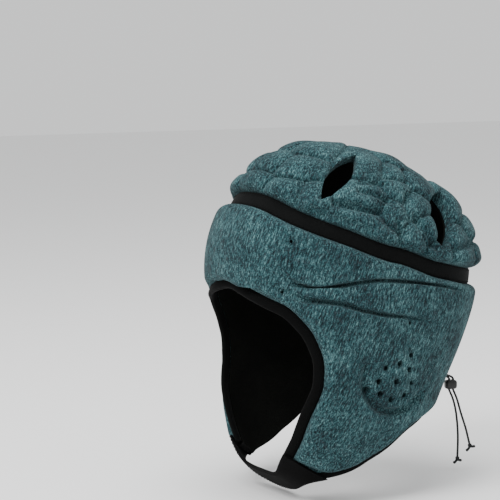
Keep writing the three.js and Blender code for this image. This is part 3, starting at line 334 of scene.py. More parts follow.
class HeadChart:
    """The surface of the lining's inner face, with places on it as around and drop.

    Args:
        head: Sizes of the hollow.
        layers: Thicknesses over it.
    """

    def __init__(self, head: HeadSizes, layers: Layers) -> None:
        """Keeps the sizes and spreads the band's rows all round."""
        self.head = head
        self.layers = layers
        back = [(-a, d) for a, d in reversed(BAND_ROWS[1:])]
        past = [(2 - a, d) for a, d in reversed(BAND_ROWS[:-1])]
        self.band = Table("around drop", back + BAND_ROWS + past)

    def section(self, level: np.ndarray) -> tuple:
        """Returns drop, half width, reach to the front, reach to the back and egg at levels from 0 to 2.

        Args:
            level: Levels, 0 at the top and 1 at the widest.

        Returns:
            Drop, half width, reach to the front, reach to the back and egg.
        """
        head = self.head
        level = np.asarray(level, float)
        turn = np.clip(level, 0, 1) * np.pi / 2
        size = np.sin(turn) ** (2 / head.dome)
        drop = head.crown * (1 - np.cos(turn) ** (2 / head.dome))
        lean = head.lean * (1 - drop / head.crown)
        below = np.clip(level - 1, 0, 1.2)
        names = ("width", "front", "back", "egg")
        width, front, rear, egg = (LOWER_SECTIONS.read(name, below) for name in names)
        widest_rear, widest_egg = (LOWER_SECTIONS.column(name)[0] for name in ("back", "egg"))
        top = level < 1
        half = head.length / 2
        return (
            np.where(top, drop, head.crown + below * head.side),
            head.width / 2 * np.where(top, size, width),
            np.where(top, half * size + lean, half * front),
            np.where(top, half * size * widest_rear - lean, half * rear),
            np.where(top, widest_egg, egg),
        )

    def level(self, drop: np.ndarray) -> np.ndarray:
        """Returns the level of a drop in millimetres.

        Args:
            drop: Drops in millimetres.

        Returns:
            The levels.
        """
        head = self.head
        drop = np.asarray(drop, float)
        top = np.clip(1 - drop / head.crown, 0, 1)
        upper = np.arccos(top ** (head.dome / 2)) * 2 / np.pi
        return np.where(drop > head.crown, 1 + (drop - head.crown) / head.side, upper)

    def lining(self, around: np.ndarray, level: np.ndarray) -> np.ndarray:
        """Returns points on the lining's inner face.

        Args:
            around: Places around, 0 in front, 1 behind.
            level: Levels, 0 at the top and 1 at the widest.

        Returns:
            The points.
        """
        drop, width, front, back, egg = self.section(level)
        turn = np.asarray(around) * np.pi
        power = 2 / self.head.roundness
        x = width * signed_power(np.sin(turn), power) * (1 - egg * np.cos(turn))
        y = (back - front) / 2 - (back + front) / 2 * signed_power(np.cos(turn), power)
        return np.stack(np.broadcast_arrays(x, y, -drop), -1)

    def outward(self, around: np.ndarray, level: np.ndarray) -> np.ndarray:
        """Returns directions square to the surface.

        Args:
            around: Places around, 0 in front, 1 behind.
            level: Levels, 0 at the top and 1 at the widest.

        Returns:
            Vectors of length one.
        """
        step = 0.01
        low = np.maximum(level, step * 2)
        along = self.lining(around + step, low) - self.lining(around - step, low)
        down = self.lining(around, low + step) - self.lining(around, low - step)
        out = unit(np.cross(down, along))
        return np.where((np.asarray(level) < step)[..., None], np.array([0, 0, 1.0]), out)

    def on(self, around: np.ndarray, drop: np.ndarray, out: np.ndarray = 0.0) -> np.ndarray:
        """Returns points that lie out from the surface.

        Args:
            around: Places around, 0 in front, 1 behind.
            drop: Drops in millimetres.
            out: How far out the points lie.

        Returns:
            The points.
        """
        around, drop, out = np.broadcast_arrays(*(np.asarray(v, float) for v in (around, drop, out)))
        level = self.level(drop)
        return self.lining(around, level) + self.outward(around, level) * out[..., None]

    def rear_around(self, x: float, drop: np.ndarray) -> np.ndarray:
        """Returns the place that is x millimetres beside the middle of the back."""
        _, width, _, _, egg = self.section(self.level(drop))
        return 1 - np.arcsin((x / (width * (1 + egg))) ** (self.head.roundness / 2)) / np.pi

    def beside_line(self, line: Line, s: np.ndarray, distance: np.ndarray) -> tuple:
        """Returns places moved over the surface, square to a line along the chart.

        Args:
            line: Gives around and drop along the line.
            s: Places along the line.
            distance: How far each place moves, in millimetres.

        Returns:
            Around and drop of the moved places.
        """
        step, probe, probe_drop = 0.02, 0.002, 0.4
        around, drop = line(s)
        after, before = line(s + step), line(s - step)
        sideways = self.on(around + probe, drop) - self.on(around - probe, drop)
        downward = self.on(around, drop + probe_drop) - self.on(around, drop - probe_drop)
        per_around, per_drop = sideways / (2 * probe), downward / (2 * probe_drop)
        along = per_around * (after[0] - before[0])[..., None] + per_drop * (after[1] - before[1])[..., None]
        square = unit(np.cross(along, self.outward(around, self.level(drop))))
        aside = square * np.asarray(distance)[..., None]
        aa, ad, dd = dot(per_around, per_around), dot(per_around, per_drop), dot(per_drop, per_drop)
        va, vd = dot(aside, per_around), dot(aside, per_drop)
        whole = aa * dd - ad * ad
        return around + (va * dd - vd * ad) / whole, drop + (vd * aa - va * ad) / whole

    def band_middle(self, around: np.ndarray) -> np.ndarray:
        """Returns the drop of the middle of the band."""
        around = np.asarray(around, float)
        return self.band.read("drop", np.where(around < -0.5, around + 2, around)) * self.head.whole

    def band_line(self, around: np.ndarray) -> tuple:
        """Returns places on the middle of the band."""
        return around, self.band_middle(around)

    def beside_band(self, around: np.ndarray, distance: float) -> np.ndarray:
        """Returns the drop that lies some millimetres below the middle of the band.

        Args:
            around: Places around, 0 in front, 1 behind.
            distance: Millimetres below the middle.

        Returns:
            The drops.
        """
        around = np.asarray(around, float)
        moved, drop = self.beside_line(self.band_line, around, np.full_like(around, distance))
        return drop + self.band_middle(around) - self.band_middle(moved)

    def on_rear(self, x: np.ndarray, drop: np.ndarray, out: np.ndarray) -> np.ndarray:
        """Returns points beside the middle of the back, at a signed distance x from it.

        Args:
            x: Millimetres to the left.
            drop: Drops in millimetres.
            out: How far out the points lie.

        Returns:
            The points.
        """
        x = np.asarray(x, float)
        sign = np.where(x < 0, -1.0, 1.0)
        return self.on(sign * self.rear_around(np.abs(x), drop), drop, out)


def grid_faces(rows: int, columns: int, ring: bool = False, first: int = 0) -> list:
    """Returns the four-sided faces of a grid of vertices, joined round when it is a ring.

    Args:
        rows: Rows of vertices.
        columns: Vertices in a row.
        ring: Whether each row is closed.
        first: Number of the first vertex.

    Returns:
        The faces.
    """
    i, j = np.meshgrid(np.arange(rows - 1), np.arange(columns if ring else columns - 1), indexing="ij")
    k = (j + 1) % columns
    corners = (i * columns + j, i * columns + k, (i + 1) * columns + k, (i + 1) * columns + j)
    return (np.stack(corners, -1).reshape(-1, 4) + first).tolist()


class Piece:
    """One mesh of the cap, with what the frame needs to know of it.

    Args:
        name: The object's name.
        points: Vertices in millimetres.
        faces: Faces as lists of vertex numbers.
        sharp: Angle in degrees above which an edge is drawn sharp.
    """

    def __init__(self, name: str, points: np.ndarray, faces: list, sharp: float = 45.0) -> None:
        """Makes the mesh and its object."""
        mesh = bpy.data.meshes.new(name)
        mesh.from_pydata((np.asarray(points) * METRES).tolist(), [], faces)
        self.obj = bpy.data.objects.new(name, mesh)
        self.sharp = sharp
        bpy.context.scene.collection.objects.link(self.obj)
        self.turn_out()

    def turn_out(self) -> None:
        """Turns the faces outward and smooths the shading."""
        mesh = self.obj.data
        work = bmesh.new()
        work.from_mesh(mesh)
        bmesh.ops.recalc_face_normals(work, faces=work.faces)
        work.to_mesh(mesh)
        work.free()
        mesh.shade_smooth()
        mesh.set_sharp_from_angle(angle=math.radians(self.sharp))

    def cut(self, points: np.ndarray, faces: list) -> "Piece":
        """Cuts a closed body out of the piece.

        Args:
            points: Vertices in millimetres.
            faces: Faces as lists of vertex numbers.

        Returns:
            The piece.
        """
        tool = Piece(self.obj.name + "_tool", points, faces)
        modifier = self.obj.modifiers.new("cut", "BOOLEAN")
        modifier.operation = "DIFFERENCE"
        modifier.solver = "MANIFOLD"
        modifier.object = tool.obj
        depsgraph = bpy.context.evaluated_depsgraph_get()
        mesh = bpy.data.meshes.new_from_object(self.obj.evaluated_get(depsgraph))
        self.obj.modifiers.remove(modifier)
        before = self.obj.data
        self.obj.data = mesh
        mesh.name = before.name
        bpy.data.meshes.remove(before)
        left = tool.obj.data
        bpy.data.objects.remove(tool.obj)
        bpy.data.meshes.remove(left)
        self.turn_out()
        return self

    def dress(self, material: bpy.types.Material, slot: str, *nodes: str) -> "Piece":
        """Gives the piece its finish, hangs it under the root body and hides the solids it stands for.

        Args:
            material: The finish.
            slot: Not used.
            nodes: The solids it stands for.

        Returns:
            The piece.
        """
        self.obj.data.materials.clear()
        self.obj.data.materials.append(material)
        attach(self.obj, "root")
        if nodes:
            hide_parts(*nodes)
        LOG.info("%s: %d faces", self.obj.name, len(self.obj.data.polygons))
        return self


def joined(parts: Sequence[tuple]) -> tuple:
    """Returns the points and faces of several bodies as one.

    Args:
        parts: Pairs of points and faces.

    Returns:
        The points and faces.
    """
    points, faces, first = [], [], 0
    for part_points, part_faces in parts:
        points.append(np.asarray(part_points))
        faces += [[i + first for i in face] for face in part_faces]
        first += len(part_points)
    return np.concatenate(points), faces


def loft(sections: np.ndarray, ring: bool = False) -> tuple:
    """Returns the points and faces of a body along matching closed sections.

    Args:
        sections: Points as sections by corners by three.
        ring: Whether the last section joins the first.

    Returns:
        Points and faces of a closed body.
    """
    rows, columns = sections.shape[:2]
    points = sections.reshape(-1, 3)
    if ring:
        closed = grid_faces(rows + 1, columns, ring=True)
        return points, [[i % (rows * columns) for i in face] for face in closed]
    faces = grid_faces(rows, columns, ring=True)
    faces.append(list(range(columns)))
    faces.append(list(range((rows - 1) * columns, rows * columns)))
    return points, faces


def tube(path: np.ndarray, radii: np.ndarray | float, sides: int = 12) -> tuple:
    """Returns the points and faces of a round body along a path.

    Args:
        path: The middle line.
        radii: One radius, or one for each point.
        sides: Sides of the section.

    Returns:
        Points and faces of a closed body.
    """
    along = unit(np.gradient(path, axis=0))
    guide = np.array([0.0, 0.0, 1.0]) if abs(along[0][2]) < 0.9 else np.array([1.0, 0.0, 0.0])
    sides_at = []
    aside = unit(np.cross(along[0], guide))
    for direction in along:
        aside = unit(aside - dot(aside, direction) * direction)
        sides_at.append((aside, np.cross(direction, aside)))
    turns = np.arange(sides) * 2 * np.pi / sides
    sections = [
        middle + radius * (np.cos(turns)[:, None] * a + np.sin(turns)[:, None] * b)
        for middle, radius, (a, b) in zip(path, np.broadcast_to(radii, len(path)), sides_at)
    ]
    return loft(np.array(sections))


def smooth_path(points: Sequence[Sequence[float]], count: int) -> np.ndarray:
    """Returns evenly spread points on the centripetal curve through the given ones.

    Args:
        points: Points that the curve runs through.
        count: How many are wanted.

    Returns:
        The points.
    """
    given = np.array(points, float)
    ends = np.vstack([2 * given[0] - given[1], given, 2 * given[-1] - given[-2]])
    found = []
    for a, b, c, d in zip(ends, ends[1:], ends[2:], ends[3:]):
        k0 = 0.0
        k1 = k0 + np.linalg.norm(b - a) ** 0.5
        k2 = k1 + np.linalg.norm(c - b) ** 0.5
        k3 = k2 + np.linalg.norm(d - c) ** 0.5
        for k in np.linspace(k1, k2, 24, endpoint=False):
            ab = (k1 - k) / (k1 - k0) * a + (k - k0) / (k1 - k0) * b
            bc = (k2 - k) / (k2 - k1) * b + (k - k1) / (k2 - k1) * c
            cd = (k3 - k) / (k3 - k2) * c + (k - k2) / (k3 - k2) * d
            abc = (k2 - k) / (k2 - k0) * ab + (k - k0) / (k2 - k0) * bc
            bcd = (k3 - k) / (k3 - k1) * bc + (k - k1) / (k3 - k1) * cd
            found.append((k2 - k) / (k2 - k1) * abc + (k - k1) / (k2 - k1) * bcd)
    dense = np.array(found + [given[-1]])
    reach = np.concatenate([[0], np.cumsum(np.linalg.norm(np.diff(dense, axis=0), axis=1))])
    even = np.linspace(0, reach[-1], count)
    return np.stack([np.interp(even, reach, dense[:, i]) for i in range(3)], -1)


def path_length(points: np.ndarray) -> float:
    """Returns the length of a line of points."""
    return float(np.linalg.norm(np.diff(points, axis=0), axis=1).sum())


def linear_colour(code: str) -> tuple:
    """Returns a hex colour as linear values with full cover."""
    values = [int(code[i:i + 2], 16) / 255 for i in (1, 3, 5)]
    return tuple(v / 12.92 if v <= 0.04045 else ((v + 0.055) / 1.055) ** 2.4 for v in values) + (1.0,)


class Shader:
    """One material and the nodes in it.

    Args:
        name: The finish's name.
    """

    def __init__(self, name: str) -> None:
        """Makes an empty material."""
        self.material = bpy.data.materials.new(name)
        self.material.use_nodes = True
        self.tree = self.material.node_tree
        self.tree.nodes.clear()

    def add(self, kind: str, inputs: dict, **settings) -> bpy.types.Node:
        """Adds a node.

        Args:
            kind: The node's type.
            inputs: For each input, a value or a pair of a node and its output.
            settings: The node's own settings.

        Returns:
            The node.
        """
        node = self.tree.nodes.new(kind)
        for key, value in settings.items():
            setattr(node, key, value)
        for key, value in inputs.items():
            if isinstance(value, tuple) and isinstance(value[0], bpy.types.Node):
                self.tree.links.new(value[0].outputs[value[1]], node.inputs[key])
            else:
                node.inputs[key].default_value = value
        return node

    def ramp(self, source: tuple, stops: Sequence[tuple]) -> tuple:
        """Adds a colour ramp with stops as place and hex colour, and returns its colour output.

        Args:
            source: The output that is read.
            stops: Places and hex colours.

        Returns:
            The colour output.
        """
        node = self.add("ShaderNodeValToRGB", {"Fac": source})
        elements = node.color_ramp.elements
        while len(elements) < len(stops):
            elements.new(0.5)
        for element, (place, code) in zip(elements, stops):
            element.position = place
            element.color = linear_colour(code)
        return node, "Color"

    def blend(self, share: object, first: object, second: object, way: str = "MIX") -> tuple:
        """Mixes two colours and returns the output."""
        node = self.add("ShaderNodeMix", {0: share, 6: first, 7: second}, data_type="RGBA", blend_type=way)
        return node, 2

    def sum(self, *terms: tuple) -> tuple:
        """Adds outputs, each multiplied by its weight, and returns the output.

        Args:
            terms: Pairs of an output and its weight.

        Returns:
            The sum's output.
        """
        total = None
        for source, weight in terms:
            inputs = {0: source, 1: weight, 2: 0.0 if total is None else total}
            total = (self.add("ShaderNodeMath", inputs, operation="MULTIPLY_ADD"), 0)
        return total

    def place(self, turn: tuple = (0.0, 0.0, 0.0), size: tuple = (1.0, 1.0, 1.0)) -> tuple:
        """Returns object coordinates, turned, with one unit for each size in millimetres.

        Args:
            turn: Turn about each axis in degrees.
            size: Size of one unit along each axis.

        Returns:
            The coordinates' output.
        """
        source = self.add("ShaderNodeTexCoord", {})
        turned = self.add(
            "ShaderNodeMapping",
            {"Vector": (source, "Object"), "Rotation": tuple(math.radians(v) for v in turn)},
        )
        scale = tuple(1 / (v * METRES) for v in size)
        return self.add("ShaderNodeMapping", {"Vector": (turned, 0), "Scale": scale}), 0

    def noise(self, at: tuple, detail: float = 2.0, rough: float = 0.6) -> tuple:
        """Returns noise with one unit a cell."""
        inputs = {"Vector": at, "Scale": 1.0, "Detail": detail, "Roughness": rough}
        return self.add("ShaderNodeTexNoise", inputs), 0

    def finish(self, **inputs: object) -> bpy.types.Material:
        """Adds the surface and the output, and returns the material.

        Args:
            inputs: The surface's inputs, with _ for a space.

        Returns:
            The material.
        """
        names = {key.replace("_", " ").title().replace("Ior", "IOR"): value for key, value in inputs.items()}
        surface = self.add("ShaderNodeBsdfPrincipled", names)
        self.add("ShaderNodeOutputMaterial", {"Surface": (surface, 0)})
        return self.material


@dataclass(frozen=True)
class KnitFinish:
    """Heathered knit: dark, middle and light threads in short streaks that lean a little to the back."""

    name: str = "teal heather knit"
    stops: tuple = (
        (0.3, "#0a1518"),
        (0.43, "#162b30"),
        (0.53, "#254145"),
        (0.64, "#3a595c"),
        (0.78, "#607f80"),
    )
    grey: str = "#3f4448"
    grey_stops: tuple = ((0.52, "#000000"), (0.66, "#8c8c8c"))
    # a stitch of the real knit is under half a millimetre, so the streaks stand for groups of stitches
    streak: tuple = (1.05, 1.05, 4.4)
    lean: float = 24.0
    cross: tuple = (1.6, 1.6, 2.6)
    cross_lean: float = -12.0
    grain: float = 0.9
    patch: float = 26.0
    ripple: float = 8.0
    middle: float = 0.37

    def build(self) -> bpy.types.Material:
        """Returns the material: the eye sees a soft mottled cloth with no shine.

        Returns:
            The material.
        """
        shader = Shader(self.name)
        streaks = shader.noise(shader.place(turn=(self.lean, 0, 0), size=self.streak), detail=2.0, rough=0.55)
        grain = shader.noise(shader.place(size=(self.grain,) * 3), detail=1.0)
        patches = shader.noise(shader.place(size=(self.patch,) * 3), detail=2.0)
        cross = shader.noise(shader.place(turn=(self.cross_lean, 0, 0), size=self.cross), detail=2.0)
        value = shader.sum((streaks, 0.9), (grain, 0.5), (patches, 0.35))
        level = shader.add("ShaderNodeMath", {0: value, 1: self.middle}, operation="SUBTRACT"), 0
        base = shader.ramp(level, self.stops)
        share = shader.ramp(cross, self.grey_stops)
        colour = shader.blend(share, base, linear_colour(self.grey))
        height = shader.sum((streaks, 0.5), (grain, 0.5), (cross, 0.2))
        soft = shader.noise(shader.place(size=(self.ripple,) * 3), detail=2.0, rough=0.45)
        under = shader.add("ShaderNodeBump", {"Height": soft, "Strength": 0.8, "Distance": 0.0032})
        raised = {"Height": height, "Strength": 0.6, "Distance": 0.0006, "Normal": (under, 0)}
        bump = shader.add("ShaderNodeBump", raised)
        return shader.finish(
            base_color=colour,
            roughness=0.95,
            specular_ior_level=0.08,
            sheen_weight=0.03,
            sheen_roughness=0.6,
            normal=(bump, 0),
        )


@dataclass(frozen=True)
class WovenFinish:
    """Plain dark cloth, tape or webbing, with a fine bump that breaks up its shine."""

    name: str
    colour: str
    light: str
    grain: tuple = (0.8, 0.8, 0.8)
    roughness: float = 0.85
    bump: float = 0.4
    sheen: float = 0.1
    specular: float = 0.25

    def build(self) -> bpy.types.Material:
        """Returns the material: the eye sees near-black cloth with a faint grain.

        Returns:
            The material.
        """
        shader = Shader(self.name)
        grain = shader.noise(shader.place(size=self.grain), detail=2.0)
        patches = shader.noise(shader.place(size=(18.0,) * 3), detail=2.0)
        value = shader.sum((grain, 0.7), (patches, 0.3))
        colour = shader.ramp(value, ((0.35, self.colour), (0.68, self.light)))
        bump = shader.add("ShaderNodeBump", {"Height": grain, "Strength": self.bump, "Distance": 0.0004})
        return shader.finish(
            base_color=colour,
            roughness=self.roughness,
            specular_ior_level=self.specular,
            sheen_weight=self.sheen,
            sheen_roughness=0.5,
            normal=(bump, 0),
        )


@dataclass(frozen=True)
class CordFinish:
    """Braided cord, with slanted threads in two greys."""

    name: str = "grey braided cord"
    dark: str = "#0a0b0c"
    light: str = "#1e2022"
    # the real braid is finer than this, but it would be too fine to see
    thread: float = 1.1

    def build(self) -> bpy.types.Material:
        """Returns the material: the eye sees a dull cord with slanted threads.

        Returns:
            The material.
        """
        shader = Shader(self.name)
        at = shader.place(turn=(38.0, 24.0, 0.0), size=(self.thread,) * 3)
        inputs = {"Vector": at, "Scale": 0.32, "Distortion": 1.2, "Detail": 1.0}
        wave = shader.add("ShaderNodeTexWave", inputs)
        colour = shader.ramp((wave, 1), ((0.25, self.dark), (0.75, self.light)))
        bump = shader.add("ShaderNodeBump", {"Height": (wave, 1), "Strength": 0.5, "Distance": 0.0003})
        return shader.finish(base_color=colour, roughness=0.72, specular_ior_level=0.3, normal=(bump, 0))


@dataclass(frozen=True)
class MouldedFinish:
    """Moulded black plastic with a soft shine and faint wear."""

    name: str = "black moulded plastic"
    colour: str = "#060707"
    light: str = "#0e0f10"

    def build(self) -> bpy.types.Material:
        """Returns the material: the eye sees a small smooth block with soft highlights.

        Returns:
            The material.
        """
        shader = Shader(self.name)
        wear = shader.noise(shader.place(size=(2.5,) * 3), detail=3.0)
        colour = shader.ramp(wear, ((0.4, self.colour), (0.7, self.light)))
        rough = shader.add("ShaderNodeMapRange", {"Value": wear, 3: 0.34, 4: 0.52})
        bump = shader.add("ShaderNodeBump", {"Height": wear, "Strength": 0.1, "Distance": 0.0002})
        return shader.finish(
            base_color=colour, roughness=(rough, 0), specular_ior_level=0.4, normal=(bump, 0),
        )


class Slot(Enum):
    """The cap's material slots, by which the finishes are handed out."""

    KNIT = "teal_knit"
    LINING = "black_lining"
    ELASTIC = "black_elastic"
    BINDING = "black_binding"
    WEBBING = "black_webbing"
    CORD = "grey_cord"
    PLASTIC = "black_plastic"


class Finishes:
    """Builds each finish once and hands it out by slot."""

    def __init__(self) -> None:
        """Builds the finishes."""
        lining = WovenFinish(
            "black knit lining", "#0a0b0a", "#131412",
            grain=(1.1, 1.1, 1.1), roughness=0.95, bump=0.5, sheen=0.0, specular=0.05,
        )
        elastic = WovenFinish(
            "ribbed black elastic", "#010202", "#070808",
            grain=(0.9, 0.9, 3.0), roughness=0.85, bump=0.5, sheen=0.02, specular=0.1,
        )
        binding = WovenFinish(
            "black binding tape", "#020202", "#060707",
            grain=(0.8, 0.8, 0.8), roughness=0.9, bump=0.4, sheen=0.01, specular=0.08,
        )
        webbing = WovenFinish(
            "black strap webbing", "#020202", "#070707",
            grain=(0.8, 2.4, 0.8), roughness=0.9, bump=0.45, sheen=0.01, specular=0.08,
        )
        self.by_slot = {
            Slot.KNIT: KnitFinish().build(),
            Slot.LINING: lining.build(),
            Slot.ELASTIC: elastic.build(),
            Slot.BINDING: binding.build(),
            Slot.WEBBING: webbing.build(),
            Slot.CORD: CordFinish().build(),
            Slot.PLASTIC: MouldedFinish().build(),
        }

    def dress(self, piece: Piece, slot: Slot, *nodes: str) -> Piece:
        """Gives a piece the finish of a slot."""
        return piece.dress(self.by_slot[slot], slot.value, *nodes)


@dataclass
class StitchRows:
    """Rows of thread stitches, laid along lines by a node tree and then kept as a plain mesh."""

    pitch: float = 3.2
    length: float = 2.2
    thickness: float = 0.55
    shortest: float = 0.85
    longest: float = 1.1
    sides: int = 6
    rings: int = 4
    seed: int = 4
    tree: bpy.types.NodeTree = field(init=False)
    sockets: dict = field(init=False, default_factory=dict)

    def __post_init__(self) -> None:
        """Builds the node tree with its named inputs."""
        self.tree = bpy.data.node_groups.new("stitch rows", "GeometryNodeTree")
        face, nodes, links = self.tree.interface, self.tree.nodes, self.tree.links
        face.new_socket("Lines", in_out="INPUT", socket_type="NodeSocketGeometry")
        kinds = {
            "Pitch": "Float",
            "Length": "Float",
            "Thickness": "Float",
            "Seed": "Int",
            "Finish": "Material",
        }
        for name, kind in kinds.items():
            socket = face.new_socket(name, in_out="INPUT", socket_type="NodeSocket" + kind)
            self.sockets[name] = socket.identifier
        face.new_socket("Stitches", in_out="OUTPUT", socket_type="NodeSocketGeometry")
        start, end = nodes.new("NodeGroupInput"), nodes.new("NodeGroupOutput")
        spread = nodes.new("GeometryNodeResampleCurve")
        spread.mode = "LENGTH"
        tangent = nodes.new("GeometryNodeInputTangent")
        align = nodes.new("FunctionNodeAlignRotationToVector")
        align.axis = "Z"
        ball = nodes.new("GeometryNodeMeshUVSphere")
        ball.inputs["Segments"].default_value = self.sides
        ball.inputs["Rings"].default_value = self.rings
        ball.inputs["Radius"].default_value = 0.5
        size = nodes.new("ShaderNodeCombineXYZ")
        vary = nodes.new("FunctionNodeRandomValue")
        vary.data_type = "FLOAT"
        vary.inputs[2].default_value = self.shortest
        vary.inputs[3].default_value = self.longest
        long = nodes.new("ShaderNodeMath")
        long.operation = "MULTIPLY"
        put = nodes.new("GeometryNodeInstanceOnPoints")
        real = nodes.new("GeometryNodeRealizeInstances")
        dress = nodes.new("GeometryNodeSetMaterial")
        for source, target in (
            (start.outputs["Lines"], spread.inputs["Curve"]),
            (start.outputs["Pitch"], spread.inputs["Length"]),
            (tangent.outputs[0], align.inputs["Vector"]),
            (spread.outputs[0], put.inputs["Points"]),
            (ball.outputs["Mesh"], put.inputs["Instance"]),
            (align.outputs["Rotation"], put.inputs["Rotation"]),
            (start.outputs["Seed"], vary.inputs["Seed"]),
            (start.outputs["Length"], long.inputs[0]),
            (vary.outputs[1], long.inputs[1]),
            (start.outputs["Thickness"], size.inputs[0]),
            (start.outputs["Thickness"], size.inputs[1]),
            (long.outputs[0], size.inputs[2]),
            (size.outputs[0], put.inputs["Scale"]),
            (put.outputs[0], real.inputs[0]),
            (real.outputs[0], dress.inputs["Geometry"]),
            (start.outputs["Finish"], dress.inputs["Material"]),
            (dress.outputs[0], end.inputs[0]),
        ):
            links.new(source, target)

    def sew(self, name: str, lines: Sequence[np.ndarray], finishes: Finishes, slot: Slot) -> bpy.types.Object:
        """Lays stitches along lines and keeps them as a plain mesh.

        Args:
            name: The object's name.
            lines: Lines of points in millimetres.
            finishes: The cap's finishes.
            slot: The slot whose finish the thread has.

        Returns:
            The stitches' object.
        """
        curve = bpy.data.curves.new(name + "_lines", "CURVE")
        curve.dimensions = "3D"
        for points in lines:
            spline = curve.splines.new("POLY")
            spline.points.add(len(points) - 1)
            spline.points.foreach_set("co", np.column_stack([points * METRES, np.ones(len(points))]).ravel())
        guide = bpy.data.objects.new(name + "_lines", curve)
        bpy.context.scene.collection.objects.link(guide)
        modifier = guide.modifiers.new("stitches", "NODES")
        modifier.node_group = self.tree
        values = {
            "Pitch": self.pitch * METRES,
            "Length": self.length * METRES,
            "Thickness": self.thickness * METRES,
            "Seed": self.seed,
            "Finish": finishes.by_slot[slot],
        }
        for key, value in values.items():
            modifier[self.sockets[key]] = value
        guide.update_tag()
        depsgraph = bpy.context.evaluated_depsgraph_get()
        mesh = bpy.data.meshes.new_from_object(guide.evaluated_get(depsgraph))
        mesh.name = name
        obj = bpy.data.objects.new(name, mesh)
        bpy.context.scene.collection.objects.link(obj)
        bpy.data.objects.remove(guide)
        bpy.data.curves.remove(curve)
        mesh.shade_smooth()
        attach(obj, "root")
        LOG.info("%s: %d stitches' faces", name, len(mesh.polygons))
        return obj


@dataclass(frozen=True)
class Vent:
    """One leaf-shaped vent: its upper tip, its directions, and the bulge of its two edges."""

    tip: np.ndarray
    along: np.ndarray
    front: np.ndarray
    out: np.ndarray
    length: float
    front_bulge: float
    rear_bulge: float
    widest: float
    power: float

    def leaf(self, t: np.ndarray) -> np.ndarray:
        """Returns the share of its bulge that an edge has along the vent."""
        u = np.where(t < self.widest, t / self.widest, (1 - t) / (1 - self.widest))
        return np.sin(np.clip(u, 0, 1) * np.pi / 2) ** self.power

    def distance(self, places: np.ndarray) -> np.ndarray:
        """Returns how far points are from the vent.

        Args:
            places: Points as rows.

        Returns:
            The distances.
        """
        away = places - self.tip
        t = dot(away, self.along) / self.length
        aside = dot(away, self.front)
        bulge = np.where(aside > 0, self.front_bulge, self.rear_bulge) * self.leaf(np.clip(t, 0, 1))
        past = np.maximum(0, np.maximum(-t, t - 1)) * self.length
        return np.hypot(np.maximum(0, np.abs(aside) - bulge), past)

    def edge(self, t: np.ndarray, bulge: float) -> np.ndarray:
        """Returns points on one edge, which bulges to the front where bulge is above zero."""
        t = t[:, None]
        return self.tip + self.along * t * self.length + self.front * bulge * self.leaf(t)

    def body(self, steps: int, low: float, high: float) -> tuple:
        """Returns the points and faces of a straight leaf-shaped body through the vent.

        Args:
            steps: How many steps each edge has.
            low: How far in the body reaches from the vent's tips.
            high: How far out it reaches.

        Returns:
            Points and faces of a closed body.
        """
        t = np.linspace(0, 1, steps + 1)
        outline = np.concatenate([self.edge(t[:-1], self.front_bulge), self.edge(t[:0:-1], -self.rear_bulge)])
        return loft(np.stack([outline - self.out * low, outline + self.out * high]))


